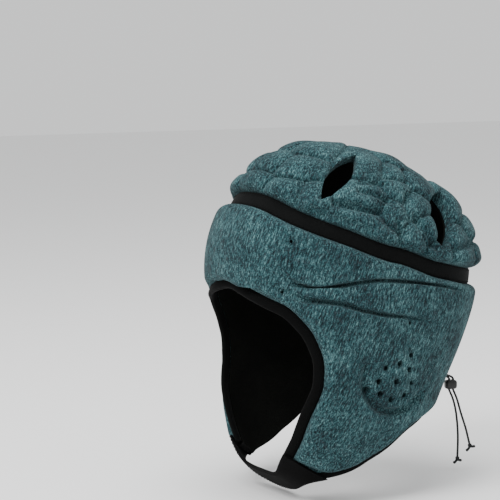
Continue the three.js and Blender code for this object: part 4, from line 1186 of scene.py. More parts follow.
@dataclass
class Crown:
    """The quilted top with its vents, and the lining under it."""

    chart: HeadChart
    thickness: float = 8.6
    rear_extra: float = 2.6
    pad_groove: float = 11.0
    pad_groove_share: float = 0.34
    pad_crowning: float = 2.4
    pad_reach: float = 18.0
    pad_blend: float = 14.0
    vent_lip: float = 6.0
    vent_lip_share: float = 0.3
    vent_lift: float = 8.0
    leaf_power: float = 0.85
    vent_steps: int = 20
    vent_low: float = 15.0
    vent_high: float = 30.0
    columns: int = 456
    rows: int = 118
    edge_rows: int = 12
    inner_rows: int = 12
    lining_columns: int = 144

    def vents(self) -> list[Vent]:
        """Returns the vents of both sides.

        Returns:
            Two vents on the left, then two on the right.
        """
        whole, chart = self.chart.head.whole, self.chart
        found = []
        for side in (1, -1):
            for up_around, up_drop, down_around, down_drop, front_bulge, rear_bulge, widest in CROWN_VENTS:
                up = chart.on(side * up_around, up_drop * whole, self.vent_lift)
                down = chart.on(side * down_around, down_drop * whole, self.vent_lift)
                level = chart.level((up_drop + down_drop) / 2 * whole)
                out = chart.outward(np.float64(side * (up_around + down_around) / 2), level)
                along = unit(down - up)
                front = unit(np.cross(along, out)) * -side
                length = np.linalg.norm(down - up)
                bulges = (front_bulge, rear_bulge)
                found.append(Vent(up, along, front, out, length, *bulges, widest, self.leaf_power))
        return found

    def from_vents(self, places: np.ndarray) -> np.ndarray:
        """Returns how far points are from the nearest vent."""
        return np.minimum.reduce([vent.distance(places) for vent in self.vents()])

    def pad_height(self, places: np.ndarray) -> tuple:
        """Returns the share of thickness left between pads, and the pads' own extra height.

        Args:
            places: Points as rows.

        Returns:
            The share and the extra height.
        """
        chart, whole, probe = self.chart, self.chart.head.whole, 0.01
        mirrored = [(-around, *rest) for around, *rest in CROWN_PADS if around % 1]
        rows = CROWN_PADS + mirrored
        distances, rises = [], []
        for around, drop, stretch, turn, rise in rows:
            depth = drop * whole
            along = unit(chart.on(around + probe, depth) - chart.on(around - probe, depth))
            out = chart.outward(np.float64(around), chart.level(depth))
            if around < 0:
                along = -along
            slant = math.radians(turn if around < 0 else -turn)
            along = along * math.cos(slant) + np.cross(out, along) * math.sin(slant)
            away = places - chart.on(around, depth)
            length = dot(away, along)
            across = np.linalg.norm(away - length[..., None] * along, axis=-1)
            distances.append(np.hypot(length / stretch, across))
            rises.append(rise)
        stack = np.stack(distances)
        nearest, second = np.sort(stack, axis=0)[:2]
        share = mix(self.pad_groove_share, 1, shoulder(second - nearest, self.pad_groove))
        weights = np.exp(-((stack / self.pad_blend) ** 2))
        rise = (np.array(rises)[:, None, None] * weights).sum(0) / weights.sum(0)
        return share, self.pad_crowning * dip(nearest, self.pad_reach) + rise * self.thickness

    def creases(self, places: np.ndarray) -> np.ndarray:
        """Returns how deep the pressed creases are at points.

        Args:
            places: Points as rows.

        Returns:
            The depths.
        """
        flat = places.reshape(-1, 3)
        depth = np.zeros(len(flat))
        for half_width, deep, line in CROWN_CREASES:
            for side in (1, -1):
                steps = np.array([(side * around, drop) for around, drop in line])
                dense = self.chart.on(steps[:, 0], steps[:, 1])
                depth = np.maximum(depth, deep * dip(line_distance(flat, dense), half_width))
        return depth.reshape(places.shape[:-1])

    def foam(self, around: np.ndarray, drop: np.ndarray, from_band: np.ndarray) -> np.ndarray:
        """Returns the foam's thickness.

        Args:
            around: Places around, 0 in front, 1 behind.
            drop: Drops in millimetres.
            from_band: Distances from the crown's edge.

        Returns:
            The thickness.
        """
        layers, head = self.chart.layers, self.chart.head
        places = self.chart.on(around, drop)
        share, crowning = self.pad_height(places)
        brow_drop = BAND_ROWS[0][1] * head.whole
        rear = np.clip(-np.cos(around * np.pi), 0, 1) * np.clip(drop / brow_drop - 1, 0, 1)
        full = self.thickness + self.rear_extra * rear
        lip = self.from_vents(self.chart.on(around, drop, self.vent_lift))
        lip_loss = 1 - self.vent_lip_share * (1 - shoulder(lip, self.vent_lip))
        height = (full - layers.seam) * share + crowning - self.creases(places)
        return layers.seam + height * lip_loss * shoulder(from_band, layers.shoulder)

    def outer_face(self, around: np.ndarray, drop: np.ndarray, from_band: np.ndarray) -> np.ndarray:
        """Returns how far out the padding's outer face lies."""
        return self.chart.layers.base + self.foam(around, drop, from_band)

    def rings(self, face: Callable | float, columns: int, gap: float) -> np.ndarray:
        """Returns rings of points from near the top down to a gap above the middle of the band.

        Args:
            face: How far out a plain face lies, with a few rings. A face with fine rings has a function
                of around, drop and the distance to the band instead.
            columns: Points in a ring.
            gap: How far above the middle of the band the last ring lies.

        Returns:
            Points as rings by columns by three.
        """
        around = np.arange(columns) * 2 / columns - 1
        edge = self.chart.level(self.chart.beside_band(around, -gap))
        probe = 0.01
        reach = self.chart.lining(around, edge + probe) - self.chart.lining(around, edge - probe)
        millimetres = np.linalg.norm(reach, axis=-1) / (2 * probe)
        fine = callable(face)
        if fine:
            last = 1 - self.chart.layers.shoulder / (edge * millimetres)
            upper = np.linspace(0, 1, self.rows + 1)[1:, None] * last
            curve = np.sin(np.linspace(0, np.pi / 2, self.edge_rows + 1))[1:, None]
            grid = np.concatenate([upper, last + (1 - last) * curve])
        else:
            shares = np.linspace(0, 1, self.inner_rows + 1)[1:]
            grid = np.repeat(shares[:, None], columns, 1)
        drop = self.chart.section(edge * grid)[0]
        turn = np.broadcast_to(around, drop.shape)
        out = face(turn, drop, (1 - grid) * edge * millimetres) if fine else face
        return self.chart.on(turn, drop, out)

    def dome(self, outer: np.ndarray, inner: np.ndarray, top: float, inner_top: float) -> tuple:
        """Returns the closed body between two sets of rings.

        Args:
            outer: Rings of the outer face, from the top down.
            inner: Rings of the inner face.
            top: Height of the outer face at its top.
            inner_top: Height of the inner face there.

        Returns:
            Points and faces of a closed body.
        """
        rows, columns = outer.shape[:2]
        low = inner.shape[0]
        points = np.concatenate([
            outer.reshape(-1, 3), inner.reshape(-1, 3), [[0, 0, top], [0, 0, inner_top]],
        ])
        first = rows * columns
        faces = grid_faces(rows, columns, True) + [f[::-1] for f in grid_faces(low, columns, True, first)]
        pole, inner_pole = len(points) - 2, len(points) - 1
        rim, inner_rim = (rows - 1) * columns, first + (low - 1) * columns
        for j in range(columns):
            k = (j + 1) % columns
            faces.append([pole, k, j])
            faces.append([inner_pole, first + j, first + k])
            faces.append([rim + j, rim + k, inner_rim + k, inner_rim + j])
        return points, faces

    def vent_bodies(self) -> tuple:
        """Returns straight leaf-shaped bodies through all four vents."""
        return joined([vent.body(self.vent_steps, self.vent_low, self.vent_high) for vent in self.vents()])

    def build(self, finishes: Finishes) -> None:
        """Makes the padded top and its lining.

        Args:
            finishes: The cap's finishes.
        """
        layers = self.chart.layers
        gap = layers.band_width / 2 + layers.edge_gap
        outer = self.rings(self.outer_face, self.columns, gap)
        inner = self.rings(layers.base, self.columns, gap)
        middle, near_top, far_from_band = (np.full((1, 1), value) for value in (0.0, 1e-6, 99.0))
        top = float(self.outer_face(middle, near_top, far_from_band)[0, 0])
        crown = Piece("padded_crown", *self.dome(outer, inner, top, layers.base), sharp=50)
        crown.cut(*self.vent_bodies())
        finishes.dress(crown, Slot.KNIT, "crown")
        lining_gap = layers.lining_gap / 2
        outer, inner = (self.rings(face, self.lining_columns, lining_gap) for face in (layers.lining, 0.0))
        lining = Piece("crown_knit_lining", *self.dome(outer, inner, layers.lining, 0.0))
        lining.cut(*self.vent_bodies())
        finishes.dress(lining, Slot.LINING, "crown_lining")


@dataclass
class RibSizes:
    """Measures of the wrap's ribs that the foam follows, one value for each column."""

    s: np.ndarray
    length: np.ndarray
    near: np.ndarray
    far: np.ndarray
    end: np.ndarray


@dataclass
class Wrap:
    """The padded wrap round the forehead, ears and nape, with its lining and the lines of its bound edges."""

    chart: HeadChart
    thickness: float = 9.0
    brow_extra: float = 3.4
    brow_ribs: float = 4.5
    fold_width: float = 4.0
    fold_depth: float = 5.8
    fold_reach: float = 1.7
    dimple_width: float = 5.0
    dimple_depth: float = 2.2
    ear_around: float = 0.52
    ear_drop: float = 0.668
    ear_radius: float = 28.0
    ear_groove: float = 4.5
    ear_groove_depth: float = 6.0
    ear_rise: float = 2.4
    strap_ribs: float = 1 / 3
    # the punched knit gives round each hole, so it opens a little wider than the punch
    hole_ease: float = 1.2
    band_corner: int = 6
    nape_corner: int = 8
    per_rib: int = 24
    middle_rows: int = 66
    edge_rows: int = 12
    inner_rows: int = 8
    lining_per_rib: int = 6
    edge_per_rib: int = 14
    # the round edges may take at most this share of a rib
    edge_share: float = 0.3
    lining_tuck: float = 0.8
    hole_sides: int = 16
    ribs: Table = field(init=False)
    last: int = field(init=False)

    def __post_init__(self) -> None:
        """Places the ribs of both sides."""
        chart = self.chart
        half = []
        for rib, face_around, face_drop, far_around, far_drop in WRAP_RIBS:
            if far_drop is None:
                drop = chart.beside_band(np.float64(far_around), chart.layers.band_width / 2)
                far_drop = float(drop) / chart.head.whole
            half.append((rib, face_around, face_drop, far_around, far_drop))
        mirror = [(-r[0], -r[1], r[2], -r[3], r[4]) for r in reversed(half[1:])]
        self.ribs = Table("rib face_around face_drop far_around far_drop", mirror + half)
        self.last = len(WRAP_RIBS) - 1

    def face_line(self, s: np.ndarray) -> tuple:
        """Returns places on the edge round the face opening."""
        return self.ribs.read("face_around", s), self.ribs.read("face_drop", s) * self.chart.head.whole

    def far_line_at(self, s: np.ndarray, band_gap: float, slit_gap: float) -> tuple:
        """Returns places on the far edge, at given gaps from the band and from the middle of the slit.

        Args:
            s: Places along the wrap, counted in ribs.
            band_gap: Distance from the middle of the band.
            slit_gap: Distance from the middle of the slit.

        Returns:
            Around and drop.
        """
        side = np.abs(s)
        around = np.clip(self.ribs.read("far_around", s), -1, 1)
        own = self.ribs.read("far_drop", s) * self.chart.head.whole
        drop = np.where(side <= self.band_corner, self.chart.beside_band(around, band_gap), own)
        limit = self.chart.rear_around(slit_gap, drop)
        return np.where(side > self.nape_corner + 1, around, np.clip(around, -limit, limit)), drop

    def far_line(self, s: np.ndarray) -> tuple:
        """Returns places on the wrap's far edge.

        Args:
            s: Places along the wrap, counted in ribs.

        Returns:
            Around and drop.
        """
        layers = self.chart.layers
        from_band = layers.band_width / 2 + layers.edge_gap
        from_slit = layers.slit_width / 2 + layers.rim_width + layers.edge_gap
        return self.far_line_at(s, from_band, from_slit)

    def rib_place(self, s: np.ndarray, t: np.ndarray) -> tuple:
        """Returns places that are the share t of the way across the wrap."""
        (face_around, face_drop), (far_around, far_drop) = self.face_line(s), self.far_line(s)
        return mix(face_around, far_around, t), mix(face_drop, far_drop, t)

    def flap_end(self, t: np.ndarray) -> tuple:
        """Returns places across the end of the left flap."""
        return self.rib_place(np.full_like(t, self.last), t)

    def per_millimetre(self, s: np.ndarray, at_far: bool) -> np.ndarray:
        """Returns the share of a rib's length that one millimetre is at one end.

        Args:
            s: Places along the wrap, counted in ribs.
            at_far: Whether it is the far end.

        Returns:
            The shares.
        """
        step = 0.02
        t = 1.0 if at_far else 0.0
        line = self.far_line if at_far else self.face_line
        across = self.chart.on(*self.rib_place(s, t + step)) - self.chart.on(*self.rib_place(s, t - step))
        along = self.chart.on(*line(s + step)) - self.chart.on(*line(s - step))
        return np.linalg.norm(along, axis=-1) / np.linalg.norm(np.cross(across / (2 * step), along), axis=-1)

    def measure(self, s: np.ndarray) -> RibSizes:
        """Returns the ribs' measures.

        Args:
            s: Places along the wrap, counted in ribs.

        Returns:
            The measures at those places.
        """
        t = np.linspace(0, 1, self.inner_rows + 1)[:, None]
        points = self.chart.on(*self.rib_place(s[None], t))
        length = np.linalg.norm(np.diff(points, axis=0), axis=-1).sum(0)
        ends = self.chart.on(*self.rib_place(np.array([self.last, self.last - 1.0]), 0.5))
        beside = np.linalg.norm(ends[0] - ends[1])
        end = (self.last - np.abs(s) - self.strap_ribs) * beside
        return RibSizes(s, length, self.per_millimetre(s, False), self.per_millimetre(s, True), end)

    def ear_shape(self, around: np.ndarray, drop: np.ndarray) -> np.ndarray:
        """Returns the rise and the pressed crescent of the ear patch.

        Args:
            around: Places around, 0 in front, 1 behind.
            drop: Drops in millimetres.

        Returns:
            Height in millimetres, below zero in the crescent.
        """
        middle = self.chart.on(self.ear_around, self.ear_drop * self.chart.head.whole)
        away = self.chart.on(np.abs(around), drop) - middle
        distance = np.maximum(np.linalg.norm(away, axis=-1), 1e-6)
        low_front = np.clip((-away[..., 2] - 0.5 * away[..., 1]) / distance, 0, 1)
        rise = self.ear_rise * dip(distance, self.ear_radius)
        crescent = dip(distance - self.ear_radius, self.ear_groove) * np.sqrt(low_front)
        return rise - self.ear_groove_depth * crescent

    def dimples(self, places: np.ndarray) -> np.ndarray:
        """Returns how far the foam sinks in round the punched holes.

        Args:
            places: Points as rows.

        Returns:
            The depths.
        """
        depth = np.zeros(len(places))
        for around, drop, across in WRAP_HOLES:
            for side in (1, -1):
                middle = self.chart.on(side * around, drop * self.chart.head.whole)
                distance = np.linalg.norm(places - middle, axis=-1)
                deep = self.dimple_depth * dip(distance, self.dimple_width + across / 2)
                depth = np.maximum(depth, deep)
        return depth

    def foam(self, ribs: RibSizes, t: np.ndarray) -> np.ndarray:
        """Returns the foam's thickness at shares t of each rib.

        Args:
            ribs: Measures of the columns.
            t: Shares of the way across the wrap.

        Returns:
            The thickness.
        """
        layers = self.chart.layers
        s = np.broadcast_to(ribs.s, t.shape)
        around, drop = self.rib_place(s, t)
        places = self.chart.on(around, drop).reshape(-1, 3)
        steps = self.columns(self.edge_per_rib)
        edges = [self.chart.on(*line(steps)) for line in (self.face_line, self.far_line)]
        near = np.minimum(*(line_distance(places, edge) for edge in edges)).reshape(t.shape)
        near = np.where((t <= 0) | (t >= 1), 0, near)
        near_end = np.broadcast_to(ribs.end, t.shape)
        round_off = shoulder(near, layers.shoulder) * shoulder(near_end, layers.shoulder)
        side = np.abs(s)
        low, high = WRAP_FOLDS.read("low", side), WRAP_FOLDS.read("high", side)
        low_depth = np.clip(WRAP_FOLDS.read("low_depth", side) * self.fold_reach, 0, 1) * self.fold_depth
        high_depth = np.clip(WRAP_FOLDS.read("high_depth", side) * self.fold_reach, 0, 1) * self.fold_depth
        folds = low_depth * dip((t - low) * ribs.length, self.fold_width)
        folds = folds + high_depth * dip((t - high) * ribs.length, self.fold_width)
        brow = self.brow_extra * dip(s, self.brow_ribs) * (1 - t)
        folds = folds + self.dimples(places).reshape(t.shape)
        height = self.thickness - layers.seam - folds + brow + self.ear_shape(around, drop)
        return layers.seam + height * round_off

    def columns(self, per_rib: int) -> np.ndarray:
        """Returns even places along the wrap."""
        return np.linspace(-self.last, self.last, 2 * self.last * per_rib + 1)

    def sheet(self, outer: np.ndarray, inner: np.ndarray) -> tuple:
        """Returns the closed body between an outer and an inner grid with the same columns.

        Args:
            outer: Grid of the outer face.
            inner: Grid of the inner face.

        Returns:
            Points and faces of a closed body.
        """
        rows, columns = outer.shape[:2]
        low = inner.shape[0]
        first = rows * columns
        points = np.concatenate([outer.reshape(-1, 3), inner.reshape(-1, 3)])
        faces = grid_faces(rows, columns) + [f[::-1] for f in grid_faces(low, columns, False, first)]
        top, bottom = (rows - 1) * columns, first + (low - 1) * columns
        for j in range(columns - 1):
            faces.append([j + 1, j, first + j, first + j + 1])
            faces.append([top + j, top + j + 1, bottom + j + 1, bottom + j])
        for j, flip in ((0, 1), (columns - 1, -1)):
            outside = [i * columns + j for i in range(rows)]
            inside = [first + i * columns + j for i in reversed(range(low))]
            faces.append((outside + inside)[::flip])
        return points, faces

    def hole_bodies(self) -> tuple:
        """Returns round bodies through all holes of both sides.

        Returns:
            Points and faces of the closed bodies.
        """
        chart, whole = self.chart, self.chart.head.whole
        turns = np.arange(self.hole_sides) * 2 * np.pi / self.hole_sides
        bodies = []
        for around, drop, across in WRAP_HOLES:
            for side in (1, -1):
                middle = chart.on(side * around, drop * whole)
                axis = chart.outward(np.float64(side * around), chart.level(drop * whole))
                aside = unit(np.cross([0, 0, 1.0], axis))
                spokes = np.cos(turns)[:, None] * aside + np.sin(turns)[:, None] * np.cross(axis, aside)
                ring = middle + spokes * across * self.hole_ease / 2
                lift = chart.layers.base + 2 * self.thickness
                bodies.append(loft(np.stack([ring + axis * chart.layers.lining, ring + axis * lift])))
        return joined(bodies)

    def few_rows(self, columns: np.ndarray) -> tuple:
        """Returns places on the few even rows of a plain face."""
        t = np.linspace(0, 1, self.inner_rows + 1)[:, None] * np.ones_like(columns)
        return self.rib_place(np.broadcast_to(columns, t.shape), t)

    def build(self, finishes: Finishes) -> None:
        """Makes the padding and its lining.

        Args:
            finishes: The cap's finishes.
        """
        layers = self.chart.layers
        columns = self.columns(self.per_rib)
        ribs = self.measure(columns)
        near = np.minimum(layers.shoulder * ribs.near, self.edge_share)
        far = np.minimum(layers.shoulder * ribs.far, self.edge_share)
        curve = 1 - np.cos(np.linspace(0, np.pi / 2, self.edge_rows + 1))[:, None]
        middle = np.linspace(0, 1, self.middle_rows + 1)[1:-1, None]
        t = np.concatenate([curve * near, near + (1 - near - far) * middle, (1 - curve * far)[::-1]])
        s = np.broadcast_to(columns, t.shape)
        outer = self.chart.on(*self.rib_place(s, t), layers.base + self.foam(ribs, t))
        inner = self.chart.on(*self.few_rows(columns), layers.base)
        wrap = Piece("padded_wrap", *self.sheet(outer, inner), sharp=50)
        wrap.cut(*self.hole_bodies())
        finishes.dress(wrap, Slot.KNIT, "side_wrap")
        self.build_lining(finishes)

    def build_lining(self, finishes: Finishes) -> None:
        """Makes the knit inside the padding, out to the bound edges.

        Args:
            finishes: The cap's finishes.
        """
        layers = self.chart.layers
        columns = self.columns(self.lining_per_rib)
        around, drop = self.few_rows(columns)
        at_band = self.far_line_at(columns, layers.lining_gap / 2, layers.clearance / 2)
        under_rim = np.full_like(columns, self.lining_tuck - layers.rim_width)
        below = self.chart.beside_line(self.far_line, columns, under_rim)
        side = np.abs(columns)
        low = side > self.nape_corner - 1
        edge_around = np.where(side > self.nape_corner, below[0], at_band[0])
        edge_drop = np.where(low, below[1], at_band[1])
        around, drop = np.vstack([around, edge_around]), np.vstack([drop, edge_drop])
        faces = [self.chart.on(around, drop, out) for out in (layers.lining, 0.0)]
        lining = Piece("side_knit_lining", *self.sheet(*faces))
        finishes.dress(lining, Slot.LINING, "side_lining")


def strip(
    chart: HeadChart, line: Line, places: np.ndarray, corners: Sequence[tuple], ring: bool = False,
) -> tuple:
    """Returns the points and faces of a body that follows a line.

    Args:
        chart: The surface that the line lies on.
        line: Gives around and drop along the line.
        places: Where the sections are along the line.
        corners: The section's corners, as distance beside the line and distance out.
        ring: Whether the line is closed.

    Returns:
        Points and faces of a closed body.
    """
    sections = []
    for away, out in corners:
        around, drop = chart.beside_line(line, places, np.full_like(places, away))
        sections.append(chart.on(around, drop, out))
    return loft(np.stack(sections, 1), ring)


def soft_corners(near: float, far: float, low: float, high: float, power: float = 2.6) -> list:
    """Returns the corners of a rounded oblong section.

    Args:
        near: Where the section starts beside the line.
        far: Where it ends.
        low: How far out its inner face lies.
        high: How far out its outer face lies.
        power: How square it is, 2 for an oval.

    Returns:
        The corners.
    """
    steps = 6
    turns = np.arange(4 * steps) * np.pi / (2 * steps)
    x = (near + far) / 2 + (far - near) / 2 * signed_power(np.cos(turns), 2 / power)
    y = (low + high) / 2 + (high - low) / 2 * signed_power(np.sin(turns), 2 / power)
    return list(zip(x, y))


@dataclass(frozen=True)
class LoopSizes:
    """The tape loops that hold the lace."""

    width: float = 5.0
    height: float = 3.8
    length: float = 4.0
    wall: float = 0.8
    # how far the loop's feet sink into the rim
    foot: float = 0.4
    squareness: float = 0.7


@dataclass
class Edging:
    """The band, the bound edges, the gusset and the lace loops."""

    chart: HeadChart
    wrap: Wrap
    loops: LoopSizes
    band_overlap: float = 0.7
    band_places: int = 300
    band_stitch: float = 0.9
    band_stitch_lift: float = 0.05
    tape_overlap: float = 0.3
    face_low: float = 0.2
    face_stitch: float = 2.6
    face_stitch_lift: float = 0.25
    rim_start: float = 0.12
    rim_stitch: float = 2.4
    rim_stitch_lift: float = 0.02
    end_over: float = 1.4
    end_under: float = 2.4
    end_low: float = 0.1
    # how far the tape across a flap's end runs past its corners, as a share of the end's width
    end_past: float = 0.1
    end_places: int = 24
    places_per_rib: int = 16
    gusset_thickness: float = 1.2
    gusset_ease: float = 0.2
    gusset_top: float = 2.0
    gusset_rows: int = 240
    gusset_columns: int = 8
    ripple_pitch: float = 2.4
    ripple_height: float = 0.18

    def build(self, finishes: Finishes, stitches: StitchRows) -> None:
        """Makes all the edging pieces.

        Args:
            finishes: The cap's finishes.
            stitches: The stitch maker.
        """
        self.build_band(finishes, stitches)
        self.build_face_binding(finishes, stitches)
        for side, name in ((1, "left"), (-1, "right")):
            self.build_rim(side, name, finishes, stitches)
        self.build_gusset(finishes)

    def build_band(self, finishes: Finishes, stitches: StitchRows) -> None:
        """Makes the elastic ring between the crown and the wrap, with a stitch row along each edge.

        Args:
            finishes: The cap's finishes.
            stitches: The stitch maker.
        """
        layers = self.chart.layers
        half, base = layers.band_width / 2, layers.base
        top = base + layers.band_thickness
        reach = half + self.band_overlap
        corners = soft_corners(-reach, reach, base, top, power=5)
        places = np.arange(self.band_places) * 2 / self.band_places - 1
        line = self.chart.band_line
        band = Piece("elastic_band", *strip(self.chart, line, places, corners, ring=True), sharp=60)
        finishes.dress(band, Slot.ELASTIC, "crown_band")
        rows = []
        for away in (self.band_stitch - half, half - self.band_stitch):
            around, drop = self.chart.beside_line(line, places, np.full_like(places, away))
            rows.append(self.chart.on(around, drop, top + self.band_stitch_lift))
        stitches.sew("band_stitches", rows, finishes, Slot.ELASTIC)

    def build_face_binding(self, finishes: Finishes, stitches: StitchRows) -> None:
        """Makes the binding round the face opening.

        Args:
            finishes: The cap's finishes.
            stitches: The stitch maker.
        """
        layers = self.chart.layers
        places = self.wrap.columns(self.places_per_rib)
        top = layers.binding_thickness + self.tape_overlap
        corners = soft_corners(-self.tape_overlap, layers.binding_width, self.face_low, top)
        line = self.wrap.face_line
        binding = Piece("face_binding_tape", *strip(self.chart, line, places, corners), sharp=70)
        finishes.dress(binding, Slot.BINDING, "face_binding")
        around, drop = self.chart.beside_line(line, places, np.full_like(places, self.face_stitch))
        row = self.chart.on(around, drop, layers.binding_thickness + self.face_stitch_lift)
        stitches.sew("face_binding_stitches", [row], finishes, Slot.BINDING)

    def build_rim(self, side: int, name: str, finishes: Finishes, stitches: StitchRows) -> None:
        """Makes one lower binding with its lace loops.

        Args:
            side: 1 on the left and -1 on the right.
            name: The side's word in the names of pieces.
            finishes: The cap's finishes.
            stitches: The stitch maker.
        """
        layers = self.chart.layers
        start = self.wrap.band_corner + self.rim_start
        count = int((self.wrap.last - start) * self.places_per_rib)
        places = np.linspace(start, self.wrap.last, count)
        corners = soft_corners(-layers.rim_width, self.tape_overlap, layers.base, layers.rim_top, power=2.8)
        parts = [strip(self.chart, self.wrap.far_line, places, corners)]
        end = soft_corners(-self.end_over, self.end_under, self.end_low, layers.binding_thickness)
        across = np.linspace(-self.end_past, 1 + self.end_past, self.end_places)
        parts.append(strip(self.chart, self.wrap.flap_end, across, end))
        parts += [self.loop(drop * self.chart.head.whole) for drop in LOOP_DROPS]
        points, faces = joined(parts)
        inward = np.full_like(places, -self.rim_stitch)
        around, drop = self.chart.beside_line(self.wrap.far_line, places, inward)
        row = self.chart.on(around, drop, layers.rim_top + self.rim_stitch_lift)
        turn = np.array([side, 1, 1])
        rim = Piece("lower_binding_tape_" + name, points * turn, faces, sharp=70)
        finishes.dress(rim, Slot.BINDING, "lower_binding_" + name)
        stitches.sew("lower_binding_stitches_" + name, [row * turn], finishes, Slot.BINDING)

    def loop(self, drop: float) -> tuple:
        """Returns one lace loop, an arch of tape open up and down.

        Args:
            drop: Drop of the loop's middle.

        Returns:
            Points and faces of a closed body.
        """
        chart, layers, sizes = self.chart, self.chart.layers, self.loops
        beside = layers.rim_middle
        turns = np.linspace(0, np.pi, 15)
        shapes = []
        for shrink in (0.0, sizes.wall):
            x = (sizes.width / 2 - shrink) * signed_power(np.cos(turns), sizes.squareness)
            y = (sizes.height - shrink) * signed_power(np.sin(turns), sizes.squareness) - sizes.foot
            shapes.append(np.stack([x, y], -1))
        outline = np.concatenate([shapes[0], shapes[1][::-1]])
        middle = chart.on_rear(beside, drop, layers.rim_top)
        out = chart.outward(chart.rear_around(beside, drop), chart.level(drop))
        down = unit(chart.on_rear(beside, drop + 1, 0.0) - chart.on_rear(beside, drop - 1, 0.0))
        aside = unit(np.cross(out, down))
        ends = [
            middle + outline[:, :1] * aside + outline[:, 1:] * out + down * reach
            for reach in (-sizes.length / 2, sizes.length / 2)
        ]
        return loft(np.stack(ends))

    def build_gusset(self, finishes: Finishes) -> None:
        """Makes the stretch strip behind the lace, with ribs across it.

        Args:
            finishes: The cap's finishes.
        """
        chart, layers = self.chart, self.chart.layers
        half = layers.slit_width / 2 + self.gusset_ease
        below_band = chart.beside_band(np.float64(1.0), layers.band_width / 2 + layers.edge_gap)
        bottom = WRAP_RIBS[self.wrap.nape_corner][4] * chart.head.whole
        drops = np.linspace(float(below_band) - self.gusset_top, bottom, self.gusset_rows + 1)
        ripple = self.ripple_height * np.sin(drops * 2 * np.pi / self.ripple_pitch)
        across = np.linspace(-half, half, self.gusset_columns + 1)
        rows = []
        for drop, lift in zip(drops, ripple):
            level = np.full_like(across, drop)
            high = chart.on_rear(across, level, layers.base + self.gusset_thickness + lift)
            low = chart.on_rear(across[::-1], level, layers.base)
            rows.append(np.concatenate([high, low]))
        gusset = Piece("slit_gusset", *loft(np.array(rows)), sharp=70)
        finishes.dress(gusset, Slot.ELASTIC, "nape_gusset")


@dataclass
class ChinStrap:
    """The flat strap that lies over both flaps' ends and runs under the chin."""

    chart: HeadChart
    wrap: Wrap
    thickness: float = 2.4
    inset: float = 0.5
    front: tuple = (-71.0, -242.5)
    rear: tuple = (-51.0, -259.0)
    leave: float = 16.0
    level: float = 26.0
    width: float = 26.0
    edge_round: float = 1.6
    edge_share: float = 0.25
    stitch_shares: tuple = (0.12, 0.88)
    stitch_lift: float = 0.1
    shares: int = 13
    lying_steps: int = 8
    steps: int = 44

    def lying(self, s: float, outs: Sequence[float], t: np.ndarray) -> np.ndarray:
        """Returns points across the strap where it lies on the flap.

        Args:
            s: The rib that it lies along.
            outs: How far out its two faces lie.
            t: Shares of its width.

        Returns:
            Points as faces by shares by three.
        """
        layers = self.chart.layers
        at = np.array([s])
        front = self.chart.beside_line(self.wrap.face_line, at, np.array([layers.binding_width - self.inset]))
        rear = self.chart.beside_line(self.wrap.far_line, at, np.array([self.inset - layers.rim_width]))
        around, drop = mix(front[0], rear[0], t), mix(front[1], rear[1], t)
        return np.array([self.chart.on(around, drop, out) for out in outs])

    def build(self, finishes: Finishes, stitches: StitchRows) -> None:
        """Makes the strap and the stitches at its roots.

        Args:
            finishes: The cap's finishes.
            stitches: The stitch maker.
        """
        layers = self.chart.layers
        base = max(layers.binding_thickness, layers.rim_top) + layers.clearance
        outs = (base, base + self.thickness)
        t = np.linspace(0, 1, self.shares)
        last = self.wrap.last
        ribs = last - np.linspace(1, 0, self.lying_steps + 1) * self.wrap.strap_ribs
        lie = [self.lying(rib, outs, t) for rib in ribs]
        before = self.lying(last - self.wrap.strap_ribs / 10, outs, t)
        root = lie[-1]
        front, rear = np.array([0, *self.front]), np.array([0, *self.rear])
        inward = np.cross([1.0, 0, 0], unit(rear - front)) * self.thickness
        middle = np.array([front + (rear - front) * t[:, None] + shift for shift in (inward, 0 * inward)])
        near = root + unit(root - before) * self.leave
        far = middle * [0, 1, 1] + [self.level, 0, 0]
        hanging = []
        for u in np.linspace(0, 1, self.steps + 1)[1:]:
            v = 1 - u
            hanging.append(v**3 * root + 3 * v * v * u * near + 3 * v * u * u * far + u**3 * middle)
        half = lie + hanging
        whole = np.array(half + [section * [-1, 1, 1] for section in reversed(half[:-1])])
        soft = shoulder(np.minimum(t, 1 - t) * self.width, self.edge_round)[None, :, None]
        core = whole.mean(1, keepdims=True)
        whole = core + (whole - core) * np.maximum(soft, self.edge_share)[:, None]
        sections = np.concatenate([whole[:, 0], whole[:, 1, ::-1]], axis=1)
        strap = Piece("chin_strap_webbing", *loft(sections), sharp=60)
        finishes.dress(strap, Slot.WEBBING, "chin_strap")
        rows = []
        for share in self.stitch_shares:
            k = round(share * (self.shares - 1))
            under, over = whole[:, 0, k], whole[:, 1, k]
            rows.append(over + unit(over - under) * self.stitch_lift)
        stitches.sew("chin_strap_stitches", rows, finishes, Slot.WEBBING)


